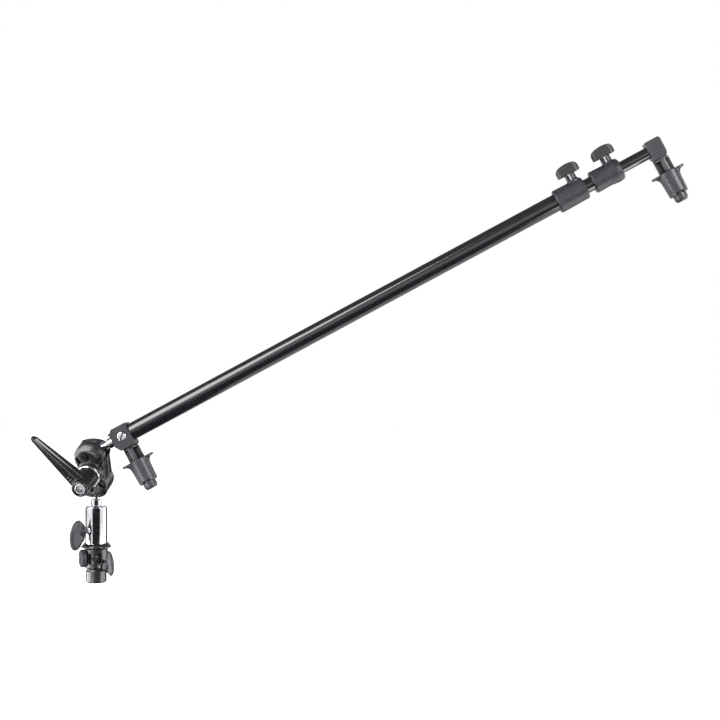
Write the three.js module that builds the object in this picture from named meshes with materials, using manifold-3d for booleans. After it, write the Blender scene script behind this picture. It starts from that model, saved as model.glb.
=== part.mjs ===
// Telescopic reflector holder arm: stand adapter, stud socket, double ball clamp with a ratchet
// lever, three sliding tubes with locking collars, and two sprung clips for a reflector's rim.
// Millimetres, +Z up. The origin lies on the stand's axis, at the bottom rim of the adapter.
// The arm rises towards +X, and the lever faces -Y.

import * as THREE from 'three';
import { mergeVertices } from 'three/addons/utils/BufferGeometryUtils.js';
import Module from 'manifold-3d';

const wasm = await Module();
wasm.setup();

// Fits and facets
const clearance = 0.3;
const overrun = 2;
const fineSides = 28;
const coarseSides = 20;
const smallSides = 12;
const ballSides = 24;
const ballRings = 12;
const coilSteps = 8;
const wireSides = 5;

// Attitude of the clamp and of the arm, in degrees
const clampPitch = 22;
const clampYaw = -7.5;
const armRise = 28.2;
const armSwing = -3.4;

// Stand adapter
const adapterHeight = 47.9;
const adapterNeckRadius = 13;
const adapterNeckHeight = 16;
const adapterGrooveRadius = 12.2;
const adapterGrooveWidth = 1.5;
const adapterBodyRadius = 14.8;
const adapterBodyBase = 19.5;
const adapterEdge = 1.2;
const studRadius = 7.9;
const studSocketDepth = 27.5;
const flangeRadius = 19;
const flangeBase = 43;
const flangeRise = 1.5;
const flangeRim = 1.5;
const earRise = 2.6;
const handBossRadius = 7;
const handBossReach = 18;
const earHalfAngle = 34;
const earTopWidth = 1.4;
const adapterPocketDepth = 4;
const adapterPocketHeight = 13;
const adapterPocketWidth = 5;
const adapterPocketFloorWidth = 2.5;
const adapterPocketAngle = 24;
const adapterFaceAngle = -88;
const adapterFaceRadius = 4.2;

// Spigot between adapter and stud socket
const spigotChamfer = 1.2;
const spigotGrooveRadius = 6.6;
const spigotGrooveWidth = 14;
const spigotReach = 36.5;

// Stud socket
const socketRadius = 13.75;
const socketLength = 49.3;
const socketTop = 12;
const socketEdge = 1.4;

// Balls and their stems
const ballRadius = 13.5;
const ballSpacing = 40;
const lowerStemReach = 31.5;
const neckRadius = 4.5;
const neckReach = 22.9;
const stemRadius = 6.75;
const stemEdge = 1;
const tailRadius = 5;
const tailLength = 9;

// Hand screws of the socket and of the adapter
const handScrewRadius = 4;
const handScrewLength = 17;
const handScrewTip = 1.5;
const socketScrewRise = 18.8;
const socketScrewAngle = -132;
const socketWingUp = 14.4;
const socketWingDown = 24;
const socketWingReach = 21;
const socketWingGap = 3;
const socketWingThickness = 7;
const adapterScrewHeight = 22.3;
const adapterScrewAngle = -43;
const adapterWingUp = 20;
const adapterWingDown = 11.6;
const adapterWingReach = 14;
const adapterWingThickness = 6;
const wingTilt = 10;
const wingHubRadius = 5.2;
const wingRootRadius = 9.5;
const wingHubLength = 6;
const wingEdge = 1.6;

// Round knob that locks the spigot
const lockScrewRadius = 3;
const lockScrewLength = 10;
const lockScrewHeight = 31.2;
const lockScrewAngle = -155;
const lockKnobRadius = 11.2;
const lockKnobThickness = 6;
const lockKnobFlutes = 12;
const lockSeat = 13.9;
const lockKnobFluteDepth = 0.5;

// Clamp shells
const lobeRadius = 19.3;
const frontCrown = 19.2;
const frontShoulder = 15.6;
const frontEndReach = 21;
const frontEndRise = 22;
const backCrown = 18;
const backShoulder = 14.5;
const backEndReach = 18.3;
const backEndRise = 19;
const lobeEndWidth = 30;
const shellGap = 1;
const stemFreedom = 6;
const upperStemLean = 15;
const upperSweepStart = 4;
const upperSweepEnd = 122;
const lowerSweepStart = 68;
const lowerSweepEnd = 127;
const waistHalfWidth = 17.8;
const waistHalfHeight = 13;
const waistCrown = 15.5;
const waistEdge = 2.5;
const frontBossHeight = 27;
const backBossHeight = 20.5;
const frontBossRadius = 15.2;
const backBossRadius = 11.5;
const bossEdge = 1;
const ballWall = 1.8;
const pocketFloor = 13.2;
const pocketReach = 28.5;
const pocketInset = 2.2;
const ribHalfAngle = 6;
const pocketTipHalfAngle = 2;
const pocketSpread = 111;
const pocketCount = 3;

// Clamp bolt, spring and washer
const boltRadius = 4;
const boltHeadRadius = 8.5;
const boltHeadHeight = 4.5;
const boltEngagement = 13;
const clampWireRadius = 0.5;
const clampCoilRadius = 4.95;
const clampCoilTurns = 5;
const clampSpringSeat = 10;
const springPocketRadius = 5.7;
const washerRadius = 16.2;
const washerThickness = 2.6;
const washerEdge = 0.9;

// Ratchet lever
const leverAngle = 129.5;
const leverToothCount = 16;
const leverToothDepth = 1;
const leverToothRadius = 8.4;
const leverToothLength = 5;
const insertNeckRadius = 6.2;
const insertPostRadius = 4.6;
const insertLength = 28;
const barrelLength = 33;
const barrelBaseRadius = 13;
const barrelTipRadius = 10.5;
const barrelLipRadius = 7.8;
const barrelRecess = 2.5;
const barrelEdge = 1;
const ledgeBase = 11;
const ledgeThickness = 2.5;
const leverLift = 6;
const handleLength = 86.5;
const handleRootWidth = 21;
const handleTipWidth = 9;
const handleRootThickness = 16;
const handleTipThickness = 8;
const handleSetback = 6;
const handleRidge = 2;
const handleCrest = 3.5;
const handleCrestShare = 1 / 6;
const handleSlotCount = 3;
const handleSlotStart = 12;
const handleSlotPitch = 4;
const handleSlotWidth = 1.6;
const handleSlotDepth = 1;
const handleSlotLength = 7;
const handleSlotPlace = 5.25;
const leverWireRadius = 0.6;
const leverCoilTurns = 4;
const leverCoilRadius = 6.6;
const leverScrewHeadRadius = 7.2;
const leverScrewHeadHeight = 3;
const leverScrewRadius = 2.4;
const leverScrewEngagement = 7;
const hexSocketRadius = 3.6;
const hexSocketDepth = 2;

// Base block at the near end of the tubes, measured along the arm from the upper ball
const blockStart = 31.5;
const blockLength = 25.5;
const blockDepth = 26;
const blockTop = 13.8;
const blockBottom = 16;
const blockTopCut = 5;
const blockNoseTop = 8.5;
const blockNoseBottom = 8.4;
const blockEdge = 1;
const nubRadius = 2.3;
const blockScrewHeadRadius = 5.8;
const blockScrewHeadHeight = 2.6;
const blockScrewProud = 1;
const blockScrewRadius = 2.5;
const blockScrewSlotWidth = 1.8;
const blockScrewSlotDepth = 1.3;
const blockScrewSlotAngle = 45;
const blockScrewSetback = 3.75;
const blockScrewEdge = 0.87;
const tubeSeat = 15;
const plugLength = 13;

// Tubes
const tubeWall = 1;
const mainRadius = 11;
const middleRadius = 9;
const endRadius = 7.5;
const mainLength = 642;
const middleSetback = 32;
const endSetback = 28;
const bushLength = 12;
const bushPlug = 14;

// Locking collars
const collarLap = 21;
const collarOneLength = 40;
const collarOneRadius = 15;
const collarOneEndRadius = 14.3;
const knobOneSetback = 10;
const middleShow = 10;
const collarTwoLength = 39.5;
const collarTwoRadius = 14.1;
const collarTwoWaistRadius = 13.6;
const collarTwoLipRadius = 14.9;
const knobTwoSetback = 11.3;
const collarRim = 1.4;
const collarShoulder = 3.3;
const collarShoulderDrop = 3;
const collarShoulderBend = 1;
const towerRadius = 6.7;
const towerRise = 8;
const windowWidth = 4.3;
const windowOffset = 2.45;
const shoeRadius = 4.5;
const shoeThickness = 3;
const shoeTravel = 1.6;

// T-knobs
const knobLength = 30;
const knobWidth = 14.5;
const knobHeight = 13.4;
const knobShoulderHeight = 10;
const knobCornerRadius = 3;
const knobEdge = 1;
const knobBoltRadius = 4;
const knobBoltGrip = 8;
const knobRunningGap = 0.5;

// Elbow at the far end
const endShow = 37.5;
const elbowLength = 20.5;
const elbowDepth = 21;
const elbowTop = 12.6;
const elbowBottom = 13;
const elbowCut = 2.2;
const elbowCutRise = 5;
const elbowSeat = 13;

// Reflector clips, measured along the clip from the face that carries it
const postRadius = 10.25;
const postRib = 6.6;
const postFoot = 2.5;
const postFillet = 2;
const tenonRadius = 5;
const tenonLength = 4;
const postShoulder = 24;
const coreRadius = 3.6;
const sleeveStart = 18.5;
const sleeveLength = 31.8;
const sleeveTopRadius = 13.4;
const sleeveEndRadius = 12.3;
const sleeveBore = 10.6;
const sleeveLedge = 3;
const sleeveSkirt = 3;
const sleeveSkirtBore = 9.8;
const throatWidth = 10;
const wingSpan = 43.5;
const wingWidth = 16;
const wingThickness = 3;
const wingGusset = 6.5;
const wingGussetThickness = 5;
const clipHeadRadius = 8.7;
const clipHeadEndRadius = 5.2;
const clipHeadReach = 9;
const clipHeadLip = 1;
const clipHeadLipWidth = 1.4;
const clipTravel = 14;
const clipWireRadius = 0.6;
const clipCoilRadius = 6.6;
const clipCoilTurns = 4;

// Heights on the stand's axis, worked out from the lengths above
const socketBottom = adapterHeight + clearance;
const socketTopHeight = socketBottom + socketLength;
const socketScrewHeight = socketBottom + socketScrewRise;
const lowerBallHeight = socketTopHeight + lowerStemReach;
const leverBase = frontBossHeight + washerThickness + 2 * clearance;

// Places along the arm, each worked out from the piece before it
const blockEnd = blockStart + blockLength;
const nearClipPlace = blockEnd - postRadius;
const tubeStart = blockEnd - tubeSeat;
const mainEnd = tubeStart + mainLength;
const middleStart = tubeStart + middleSetback;
const endStart = middleStart + endSetback;
const collarOneStart = mainEnd - collarLap;
const collarOneEnd = collarOneStart + collarOneLength;
const knobOnePlace = collarOneEnd - knobOneSetback;
const collarTwoStart = collarOneEnd + middleShow;
const collarTwoEnd = collarTwoStart + collarTwoLength;
const knobTwoPlace = collarTwoEnd - knobTwoSetback;
const middleEnd = collarTwoStart + collarLap;
const elbowStart = collarTwoEnd + endShow;
const elbowEnd = elbowStart + elbowLength;
const endTubeEnd = elbowStart + elbowSeat;
const farClipPlace = elbowEnd - postRadius;

// Small helpers

function radians(degrees) {
  return THREE.MathUtils.degToRad(degrees);
}

function toSolid(geometry) {
  const bare = geometry.clone();
  bare.deleteAttribute('normal');
  bare.deleteAttribute('uv');
  const merged = mergeVertices(bare);
  const vertProperties = new Float32Array(merged.getAttribute('position').array);
  const triVerts = new Uint32Array(merged.index.array);
  return new wasm.Manifold(new wasm.Mesh({ numProp: 3, vertProperties, triVerts }));
}

function toGeometry(solid) {
  const mesh = solid.getMesh();
  const geometry = new THREE.BufferGeometry();
  geometry.setAttribute('position', new THREE.Float32BufferAttribute(mesh.vertProperties, 3));
  geometry.setIndex(Array.from(mesh.triVerts));
  return geometry;
}

function join(...geometries) {
  const [first, ...rest] = geometries.map(toSolid);
  return toGeometry(rest.reduce((whole, next) => whole.add(next), first));
}

function cut(geometry, ...tools) {
  return toGeometry(tools.reduce((whole, tool) => whole.subtract(toSolid(tool)), toSolid(geometry)));
}

function common(first, second) {
  return toGeometry(toSolid(first).intersect(toSolid(second)));
}

// A revolve about Z. The profile is a list of [radius, height] that runs up the outside.
function turned(profile, sides = coarseSides) {
  const points = profile.map(([radius, height]) => new THREE.Vector2(radius, height));
  return new THREE.LatheGeometry(points, sides).rotateX(Math.PI / 2);
}

function disc(radius, from, to, sides = coarseSides) {
  return turned([[0, from], [radius, from], [radius, to], [0, to]], sides);
}

function chamferedDisc(radius, from, to, edge, sides = coarseSides) {
  return turned([
    [0, from], [radius - edge, from], [radius, from + edge],
    [radius, to - edge], [radius - edge, to], [0, to],
  ], sides);
}

function pipe(outer, inner, from, to, sides = coarseSides) {
  return turned([[inner, from], [outer, from], [outer, to], [inner, to], [inner, from]], sides);
}

function box(width, depth, height) {
  return new THREE.BoxGeometry(width, depth, height);
}

// Points of a circular arc, in degrees, for profiles and outlines.
function arc(centreX, centreY, radius, from, to, steps) {
  return Array.from({ length: steps + 1 }, (_, index) => {
    const angle = radians(from + ((to - from) * index) / steps);
    return [centreX + radius * Math.cos(angle), centreY + radius * Math.sin(angle)];
  });
}

// An outline extruded about the middle of its depth, with a chamfer inside its size.
function prism(points, depth, edge = 0) {
  const outline = new THREE.Shape(points.map(([x, y]) => new THREE.Vector2(x, y)));
  const bevel = edge > 0;
  const geometry = new THREE.ExtrudeGeometry(outline, {
    depth: depth - 2 * edge,
    bevelEnabled: bevel,
    bevelThickness: edge,
    bevelSize: edge,
    bevelOffset: -edge,
    bevelSegments: 1,
    steps: 1,
  });
  return geometry.translate(0, 0, edge - depth / 2);
}

// The same, with the outline in the XZ plane and the depth along Y.
function sidePrism(points, depth, edge = 0) {
  return prism(points, depth, edge).rotateX(Math.PI / 2);
}

function alongX(geometry) {
  return geometry.rotateY(Math.PI / 2);
}

// A coil about Z with straight ends of one wire diameter, square to its seats.
class CoilCurve extends THREE.Curve {
  constructor(radius, turns, from, to, wire) {
    super();
    Object.assign(this, { radius, turns, from, to, wire });
  }

  getPoint(share, target = new THREE.Vector3()) {
    const angle = 2 * Math.PI * this.turns * share;
    const height = THREE.MathUtils.lerp(this.from + this.wire, this.to - this.wire, share);
    return target.set(this.radius * Math.cos(angle), this.radius * Math.sin(angle), height);
  }
}


function spring(name, radius, turns, from, to, wire) {
  const curve = new CoilCurve(radius, turns, from, to, wire);
  const steps = coilSteps * turns;
  const stations = [];
  for (let index = 0; index <= steps; index += 1) {
    stations.push(curve.getPoint(index / steps));
  }
  const run = new THREE.Vector3(0, -radius, 0).normalize().multiplyScalar(2 * wire);
  stations.unshift(stations[0].clone().add(run));
  stations.push(stations[stations.length - 1].clone().sub(run));
  const geometry = wireTube(stations, wire);
  const pitch = (to - from - 2 * wire) / turns;
  console.log(`${name}: least gap of the wire to itself ${(pitch - 2 * wire).toFixed(2)} mm`);
  return geometry;
}

// A closed tube of wireSides sides through the stations of a coil about Z.
function wireTube(stations, wire) {
  const rings = stations.map((station, index) => {
    const before = stations[Math.max(index - 1, 0)];
    const after = stations[Math.min(index + 1, stations.length - 1)];
    const tangent = after.clone().sub(before).normalize();
    const outward = new THREE.Vector3(0, 0, 1).cross(tangent).normalize();
    const upward = tangent.clone().cross(outward);
    return Array.from({ length: wireSides }, (_, side) => {
      const angle = (2 * Math.PI * side) / wireSides;
      return station.clone()
        .addScaledVector(outward, wire * Math.cos(angle))
        .addScaledVector(upward, wire * Math.sin(angle))
        .toArray();
    });
  });
  return loft(rings);
}

// Finishes
const finishes = {
  castBlack: { color: 0x2e2e32, roughness: 0.42, metalness: 0.1 },
  glossBlack: { color: 0x1b1a20, roughness: 0.22, metalness: 0.2 },
  satinPlastic: { color: 0x4a4a50, roughness: 0.48, metalness: 0 },
  darkPlastic: { color: 0x303036, roughness: 0.4, metalness: 0 },
  chrome: { color: 0xdfe0e3, roughness: 0.08, metalness: 1 },
  steel: { color: 0xa9abae, roughness: 0.3, metalness: 1 },
  nylon: { color: 0x17171a, roughness: 0.6, metalness: 0 },
};

function piece(parent, name, geometry, finish) {
  const mesh = new THREE.Mesh(geometry, new THREE.MeshStandardMaterial(finishes[finish]));
  mesh.name = name;
  parent.add(mesh);
  return mesh;
}

function frame(parent, position, euler) {
  const group = new THREE.Group();
  group.position.copy(position);
  group.rotation.copy(euler);
  parent.add(group);
  return group;
}

// Stand adapter

const spigotBase = studSocketDepth + clearance;
const spigotTop = socketBottom + spigotReach;
const studBore = studRadius + clearance;

function standAdapter() {
  const body = turned([
    [0, 0], [adapterNeckRadius - adapterEdge, 0], [adapterNeckRadius, adapterEdge],
    [adapterNeckRadius, adapterNeckHeight - adapterEdge],
    [adapterGrooveRadius, adapterNeckHeight], [adapterGrooveRadius, adapterNeckHeight + adapterGrooveWidth],
    [adapterBodyRadius, adapterBodyBase], [adapterBodyRadius, flangeBase],
    [flangeRadius, flangeBase + flangeRise], [flangeRadius, flangeBase + flangeRise + flangeRim],
    [flangeRadius - adapterEdge, adapterHeight], [0, adapterHeight],
  ], fineSides);
  const earBase = flangeBase + flangeRise;
  const earRing = turned([
    [0, earBase], [flangeRadius, earBase], [flangeRadius, earBase + flangeRim],
    [socketRadius + clearance + earTopWidth, adapterHeight + earRise], [0, adapterHeight + earRise],
  ], fineSides);
  const sector = [[0, 0], ...arc(0, 0, 2 * flangeRadius, -earHalfAngle, earHalfAngle, 4)];
  const ears = [0, Math.PI].map((turn) => {
    const wedge = prism(sector, 2 * (adapterHeight + earRise + overrun)).rotateZ(turn);
    return common(earRing, wedge);
  });
  const pocketBase = (adapterBodyBase + flangeBase - adapterPocketHeight) / 2;
  const face = alongX(disc(adapterFaceRadius, 0, adapterBodyRadius + clearance, coarseSides))
    .rotateZ(radians(adapterFaceAngle)).translate(0, 0, pocketBase + adapterPocketHeight / 2);
  const pockets = [-1, 1].map((side) => {
    const outline = [
      [adapterBodyRadius - adapterPocketDepth, -adapterPocketFloorWidth / 2],
      [adapterBodyRadius + overrun, -adapterPocketWidth / 2],
      [adapterBodyRadius + overrun, adapterPocketWidth / 2],
      [adapterBodyRadius - adapterPocketDepth, adapterPocketFloorWidth / 2],
    ];
    return prism(outline, adapterPocketHeight)
      .rotateZ(radians(adapterFaceAngle + side * adapterPocketAngle))
      .translate(0, 0, pocketBase + adapterPocketHeight / 2);
  });
  const lockFlat = alongX(disc(lockKnobRadius + clearance, lockSeat, flangeRadius + overrun, coarseSides))
    .rotateZ(radians(lockScrewAngle)).translate(0, 0, lockScrewHeight);
  const studHole = disc(studBore, -overrun, studSocketDepth, coarseSides);
  const spigotHole = disc(studBore, studSocketDepth - overrun, adapterHeight + overrun, coarseSides);
  const earTop = adapterHeight + earRise;
  const socketRoom = disc(socketRadius + clearance, adapterHeight, earTop + overrun, fineSides);
  const holes = [
    radialHole(handScrewRadius, adapterScrewAngle, adapterScrewHeight),
    radialHole(lockScrewRadius, lockScrewAngle, lockScrewHeight),
  ];
  const whole = join(body, ...ears, face, handBoss(adapterScrewAngle, adapterScrewHeight));
  return cut(whole, studHole, spigotHole, socketRoom, lockFlat, ...pockets, ...holes);
}


function handBoss(angle, height) {
  return alongX(disc(handBossRadius, 0, handBossReach, coarseSides))
    .rotateZ(radians(angle)).translate(0, 0, height);
}

function radialHole(radius, angle, height) {
  return alongX(disc(radius + clearance, 0, flangeRadius + overrun, smallSides))
    .rotateZ(radians(angle)).translate(0, 0, height);
}

function spigot() {
  const grooveBase = socketScrewHeight - spigotGrooveWidth / 2;
  const grooveTop = socketScrewHeight + spigotGrooveWidth / 2;
  return turned([
    [0, spigotBase], [studRadius - spigotChamfer, spigotBase],
    [studRadius, spigotBase + spigotChamfer], [studRadius, grooveBase],
    [spigotGrooveRadius, grooveBase + spigotChamfer], [spigotGrooveRadius, grooveTop - spigotChamfer],
    [studRadius, grooveTop], [studRadius, spigotTop - spigotChamfer],
    [studRadius - spigotChamfer, spigotTop], [0, spigotTop],
  ], coarseSides);
}

// Hand screws. Each is built along +X from the axis that it clamps, and turned to its place.

function handScrew(radius, start, length) {
  return alongX(turned([
    [0, start], [radius - handScrewTip, start], [radius, start + handScrewTip],
    [radius, start + length], [0, start + length],
  ], smallSides));
}

function wingHandle(radius, hubStart, boreDepth, up, down, reach, thickness) {
  const middle = (up - down) / 2;
  const halfHeight = (up + down) / 2;
  const outline = arc(0, 0, 1, 0, 360, coarseSides).slice(0, -1)
    .map(([x, z]) => [x * (reach / 2), z * halfHeight]);
  const plate = sidePrism(outline, thickness, wingEdge)
    .rotateY(radians(-wingTilt))
    .translate(hubStart + wingHubLength / 2 + reach / 2, 0, middle);
  const hub = alongX(turned([
    [0, hubStart], [wingHubRadius, hubStart],
    [wingRootRadius, hubStart + wingHubLength + wingEdge],
    [0, hubStart + wingHubLength + reach / 2],
  ], coarseSides));
  const boreEnd = hubStart + boreDepth + clearance;
  const bore = alongX(disc(radius + clearance, hubStart - overrun, boreEnd, smallSides));
  return cut(join(plate, hub), bore);
}

function lockKnob(hubStart, boreDepth) {
  const outline = Array.from({ length: 3 * lockKnobFlutes }, (_, index) => {
    const angle = (2 * Math.PI * index) / (3 * lockKnobFlutes);
    const radius = lockKnobRadius - lockKnobFluteDepth * (1 - Math.cos(lockKnobFlutes * angle)) / 2;
    return [radius * Math.cos(angle), radius * Math.sin(angle)];
  });
  const wheel = alongX(prism(outline, lockKnobThickness, wingEdge))
    .translate(hubStart + lockKnobThickness / 2, 0, 0);
  const boreEnd = hubStart + boreDepth + clearance;
  const bore = alongX(disc(lockScrewRadius + clearance, hubStart - overrun, boreEnd, smallSides));
  return cut(wheel, bore);
}

// Stud socket and the ball stems

function studSocket() {
  const top = socketBottom + socketLength;
  const body = chamferedDisc(socketRadius, socketBottom, top, socketEdge, fineSides);
  const bore = disc(studBore, socketBottom - overrun, top - socketTop, coarseSides);
  const thread = disc(tailRadius + clearance, top - socketTop - overrun, top + overrun, smallSides);
  const screwHole = alongX(disc(handScrewRadius + clearance, 0, socketRadius + overrun, smallSides))
    .rotateZ(radians(socketScrewAngle)).translate(0, 0, socketScrewHeight);
  return cut(body, bore, thread, screwHole);
}

// A ball with its stem along -Z, as long as asked from the ball's centre to the stem's shoulder.
function ballStem(shoulder) {
  const ballFoot = THREE.MathUtils.radToDeg(Math.asin(neckRadius / ballRadius));
  const ball = arc(0, 0, ballRadius, ballFoot - 90, 90, ballRings - 4)
    .map(([x, z]) => [Math.max(x, 0), z]);
  ball[ball.length - 1][0] = 0;
  return turned([
    [0, -shoulder - tailLength], [tailRadius, -shoulder - tailLength], [tailRadius, -shoulder],
    [stemRadius - stemEdge, -shoulder], [stemRadius, -shoulder + stemEdge],
    [stemRadius, -neckReach - stemEdge], [neckRadius, -neckReach],
    ...ball,
  ], coarseSides);
}

// Clamp. Its frame stands at the lower ball, with Z along the balls and the lever towards -Y.
// Heights of a shell are measured from the middle plane, along +Z of its own drawing.

const halfSpacing = ballSpacing / 2;
const ballBore = ballRadius + clearance;

// What differs between the two shells. Sweeps are the angles that a stem covers about its ball.
const frontShell = {
  bossHeight: frontBossHeight,
  bossRadius: frontBossRadius,
  shoulder: frontShoulder,
  crown: frontCrown,
  endReach: frontEndReach,
  endRise: frontEndRise,
  mouths: [
    { side: 1, from: upperSweepStart, to: upperSweepEnd, lean: stemFreedom },
    { side: -1, from: -lowerSweepEnd, to: -lowerSweepStart, lean: clampPitch },
  ],
};
const backShell = {
  bossHeight: backBossHeight,
  bossRadius: backBossRadius,
  shoulder: backShoulder,
  crown: backCrown,
  endReach: backEndReach,
  endRise: backEndRise,
  mouths: [
    { side: 1, from: lowerSweepStart, to: lowerSweepEnd, lean: stemFreedom },
    { side: -1, from: -upperSweepEnd, to: -upperSweepStart, lean: upperStemLean },
  ],
};

// A lobe is round about the bolt's direction, and its outer end is domed.
function lobe(shape, side) {
  const crownFlat = lobeRadius / 2;
  const profile = [
    [0, shellGap], [lobeRadius, shellGap], [lobeRadius, shape.shoulder],
    ...roundedFall(lobeRadius, shape.shoulder, crownFlat, shape.crown, 4),
    [0, shape.crown],
  ];
  const round = turned(profile, fineSides);
  const end = new THREE.SphereGeometry(1, ballSides, ballRings)
    .scale(lobeEndWidth, shape.endReach, shape.endRise);
  const inner = box(2 * lobeRadius, lobeRadius, 2 * shape.crown)
    .translate(0, -side * lobeRadius / 2, 0);
  return common(round, join(end, inner)).translate(0, side * halfSpacing, 0);
}

// A quarter of an ellipse from an outer edge in and up to a flat crown.
function roundedFall(outer, low, inner, high, steps) {
  return Array.from({ length: steps }, (_, index) => {
    const angle = ((index + 1) / steps) * (Math.PI / 2);
    return [inner + (outer - inner) * Math.cos(angle), low + (high - low) * Math.sin(angle)];
  });
}

// The room that a stem sweeps about its ball, leaning out of the middle plane as far as asked.
function mouth({ side, from, to, lean }) {
  const reach = neckReach + overrun;
  const slope = Math.tan(radians(lean));
  const rise = neckRadius / Math.cos(radians(lean)) + clearance;
  const halfWidth = neckRadius + 2 * clearance;
  const saucer = turned([
    [0, -overrun], [reach, -overrun], [reach, slope * reach + rise], [0, rise],
  ], fineSides);
  const [[acrossX, acrossY]] = arc(0, 0, halfWidth, from - 90, from - 90, 1);
  const [[backX, backY]] = arc(0, 0, halfWidth, to + 90, to + 90, 1);
  const [[startX, startY]] = arc(0, 0, reach, from, from, 1);
  const [[endX, endY]] = arc(0, 0, reach, to, to, 1);
  const outline = [
    [acrossX, acrossY], [startX + acrossX, startY + acrossY],
    ...arc(0, 0, reach, from, to, 6),
    [endX + backX, endY + backY], [backX, backY],
  ];
  return common(saucer, prism(outline, 4 * reach)).translate(0, side * halfSpacing, 0);
}

// Triangular pockets between ribs that run out from the boss, kept clear of the ball's wall.
function pockets(shape, side) {
  const inner = shape.bossRadius + pocketInset;
  const first = 90 - pocketSpread / 2;
  const share = pocketSpread / pocketCount;
  const floorRoom = disc(lobeRadius - pocketInset, pocketFloor, frontCrown + overrun, fineSides)
    .translate(0, halfSpacing, 0);
  const wall = new THREE.SphereGeometry(ballBore + ballWall, coarseSides, smallSides)
    .translate(0, halfSpacing, 0);
  return Array.from({ length: pocketCount }, (_, index) => {
    const from = first + index * share + ribHalfAngle;
    const to = first + (index + 1) * share - ribHalfAngle;
    const middle = (from + to) / 2;
    const tip = arc(0, 0, pocketReach, middle + pocketTipHalfAngle, middle - pocketTipHalfAngle, 1);
    const outline = [...arc(0, 0, inner, from, to, 3), ...tip];
    const wedge = prism(outline, 2 * (frontCrown + overrun));
    const pocket = cut(common(wedge, floorRoom), wall);
    return side > 0 ? pocket : pocket.rotateZ(Math.PI);
  });
}

function clampShell(shape) {
  const { bossHeight, bossRadius, shoulder, crown } = shape;
  const waistOutline = [
    [waistHalfWidth, -waistHalfHeight], [waistHalfWidth, waistHalfHeight],
    [-waistHalfWidth, waistHalfHeight], [-waistHalfWidth, -waistHalfHeight],
  ];
  const waist = prism(waistOutline, waistCrown - shellGap, waistEdge)
    .translate(0, 0, (waistCrown + shellGap) / 2);
  const boss = turned([
    [0, shellGap], [bossRadius + bossEdge, shellGap], [bossRadius + bossEdge, shoulder],
    [bossRadius, crown], [bossRadius, bossHeight - bossEdge],
    [bossRadius - bossEdge, bossHeight], [0, bossHeight],
  ], fineSides);
  const body = join(lobe(shape, 1), lobe(shape, -1), waist, boss);
  const balls = [-1, 1].map((side) => new THREE.SphereGeometry(ballBore, ballSides, ballRings)
    .translate(0, side * halfSpacing, 0));
  const boltHole = disc(boltRadius + clearance, -overrun, bossHeight + overrun, smallSides);
  const springPocket = disc(springPocketRadius, -overrun, clampSpringSeat, smallSides);
  return cut(body, ...balls, ...shape.mouths.map(mouth), boltHole, springPocket,
    ...pockets(shape, 1), ...pockets(shape, -1));
}

function clampBolt() {
  const headBase = -backBossHeight - clearance;
  const tip = leverBase + boltEngagement;
  return turned([
    [0, headBase - boltHeadHeight], [boltHeadRadius - boltHeadHeight / 2, headBase - boltHeadHeight],
    [boltHeadRadius, headBase - boltHeadHeight / 2], [boltHeadRadius, headBase],
    [boltRadius, headBase], [boltRadius, tip], [0, tip],
  ], coarseSides);
}

function clampWasher() {
  const base = frontBossHeight + clearance;
  return turned([
    [boltRadius + clearance, base], [washerRadius - washerEdge, base], [washerRadius, base + washerEdge],
    [washerRadius, base + washerThickness - washerEdge],
    [washerRadius - washerEdge, base + washerThickness],
    [boltRadius + clearance, base + washerThickness], [boltRadius + clearance, base],
  ], fineSides);
}

// Lever

function toothedOutline(radius, depth) {
  return Array.from({ length: 4 * leverToothCount }, (_, index) => {
    const angle = (2 * Math.PI * index) / (4 * leverToothCount);
    const reach = index % 4 < 2 ? radius : radius - depth;
    return [reach * Math.cos(angle), reach * Math.sin(angle)];
  });
}

function leverInsert() {
  const teeth = prism(toothedOutline(leverToothRadius, leverToothDepth), leverToothLength)
    .translate(0, 0, leverBase + leverToothLength / 2);
  const neckTop = leverBase + boltEngagement + clearance;
  const neck = disc(insertNeckRadius, leverBase, neckTop, coarseSides);
  const post = disc(insertPostRadius, leverBase, leverBase + insertLength, coarseSides);
  const thread = disc(boltRadius + clearance, leverBase - overrun, neckTop, smallSides);
  const screwHole = disc(leverScrewRadius + clearance,
    leverBase + insertLength - leverScrewEngagement - clearance,
    leverBase + insertLength + overrun, smallSides);
  return cut(join(teeth, neck, post), thread, screwHole);
}

const leverScrewHeadBase = leverBase + insertLength + clearance;

function leverScrew() {
  const head = turned([
    [0, leverScrewHeadBase - leverScrewEngagement],
    [leverScrewRadius, leverScrewHeadBase - leverScrewEngagement],
    [leverScrewRadius, leverScrewHeadBase], [leverScrewHeadRadius, leverScrewHeadBase],
    [leverScrewHeadRadius, leverScrewHeadBase + leverScrewHeadHeight],
    [0, leverScrewHeadBase + leverScrewHeadHeight],
  ], coarseSides);
  const hexSides = 6;
  const recess = disc(hexSocketRadius, leverScrewHeadBase + leverScrewHeadHeight - hexSocketDepth,
    leverScrewHeadBase + leverScrewHeadHeight + overrun, hexSides);
  return cut(head, recess);
}

// The handle's bar tapers in width and thickness, and has a crest along its front face.
function leverBar() {
  const front = barrelLength - handleSetback;
  const tipStart = handleLength - handleTipWidth / 2;
  const stations = [
    { reach: 0, width: handleRootWidth, thickness: handleRootThickness },
    { reach: tipStart, width: handleTipWidth, thickness: handleTipThickness },
    {
      reach: handleLength,
      width: handleTipWidth - 2 * handleRidge,
      thickness: handleTipThickness - handleRidge,
    },
  ];
  const rings = stations.map(({ reach, width, thickness }) => {
    const back = front - thickness;
    return [
      [handleRidge - width / 2, back], [width / 2 - handleRidge, back], [width / 2, back + handleRidge],
      [width / 2, front - handleCrest], [-width * handleCrestShare, front],
      [-width / 2, front - handleCrest],
      [-width / 2, back + handleRidge],
    ].map(([across, height]) => [reach, across, leverBase + height]);
  });
  return loft(rings);
}

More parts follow.
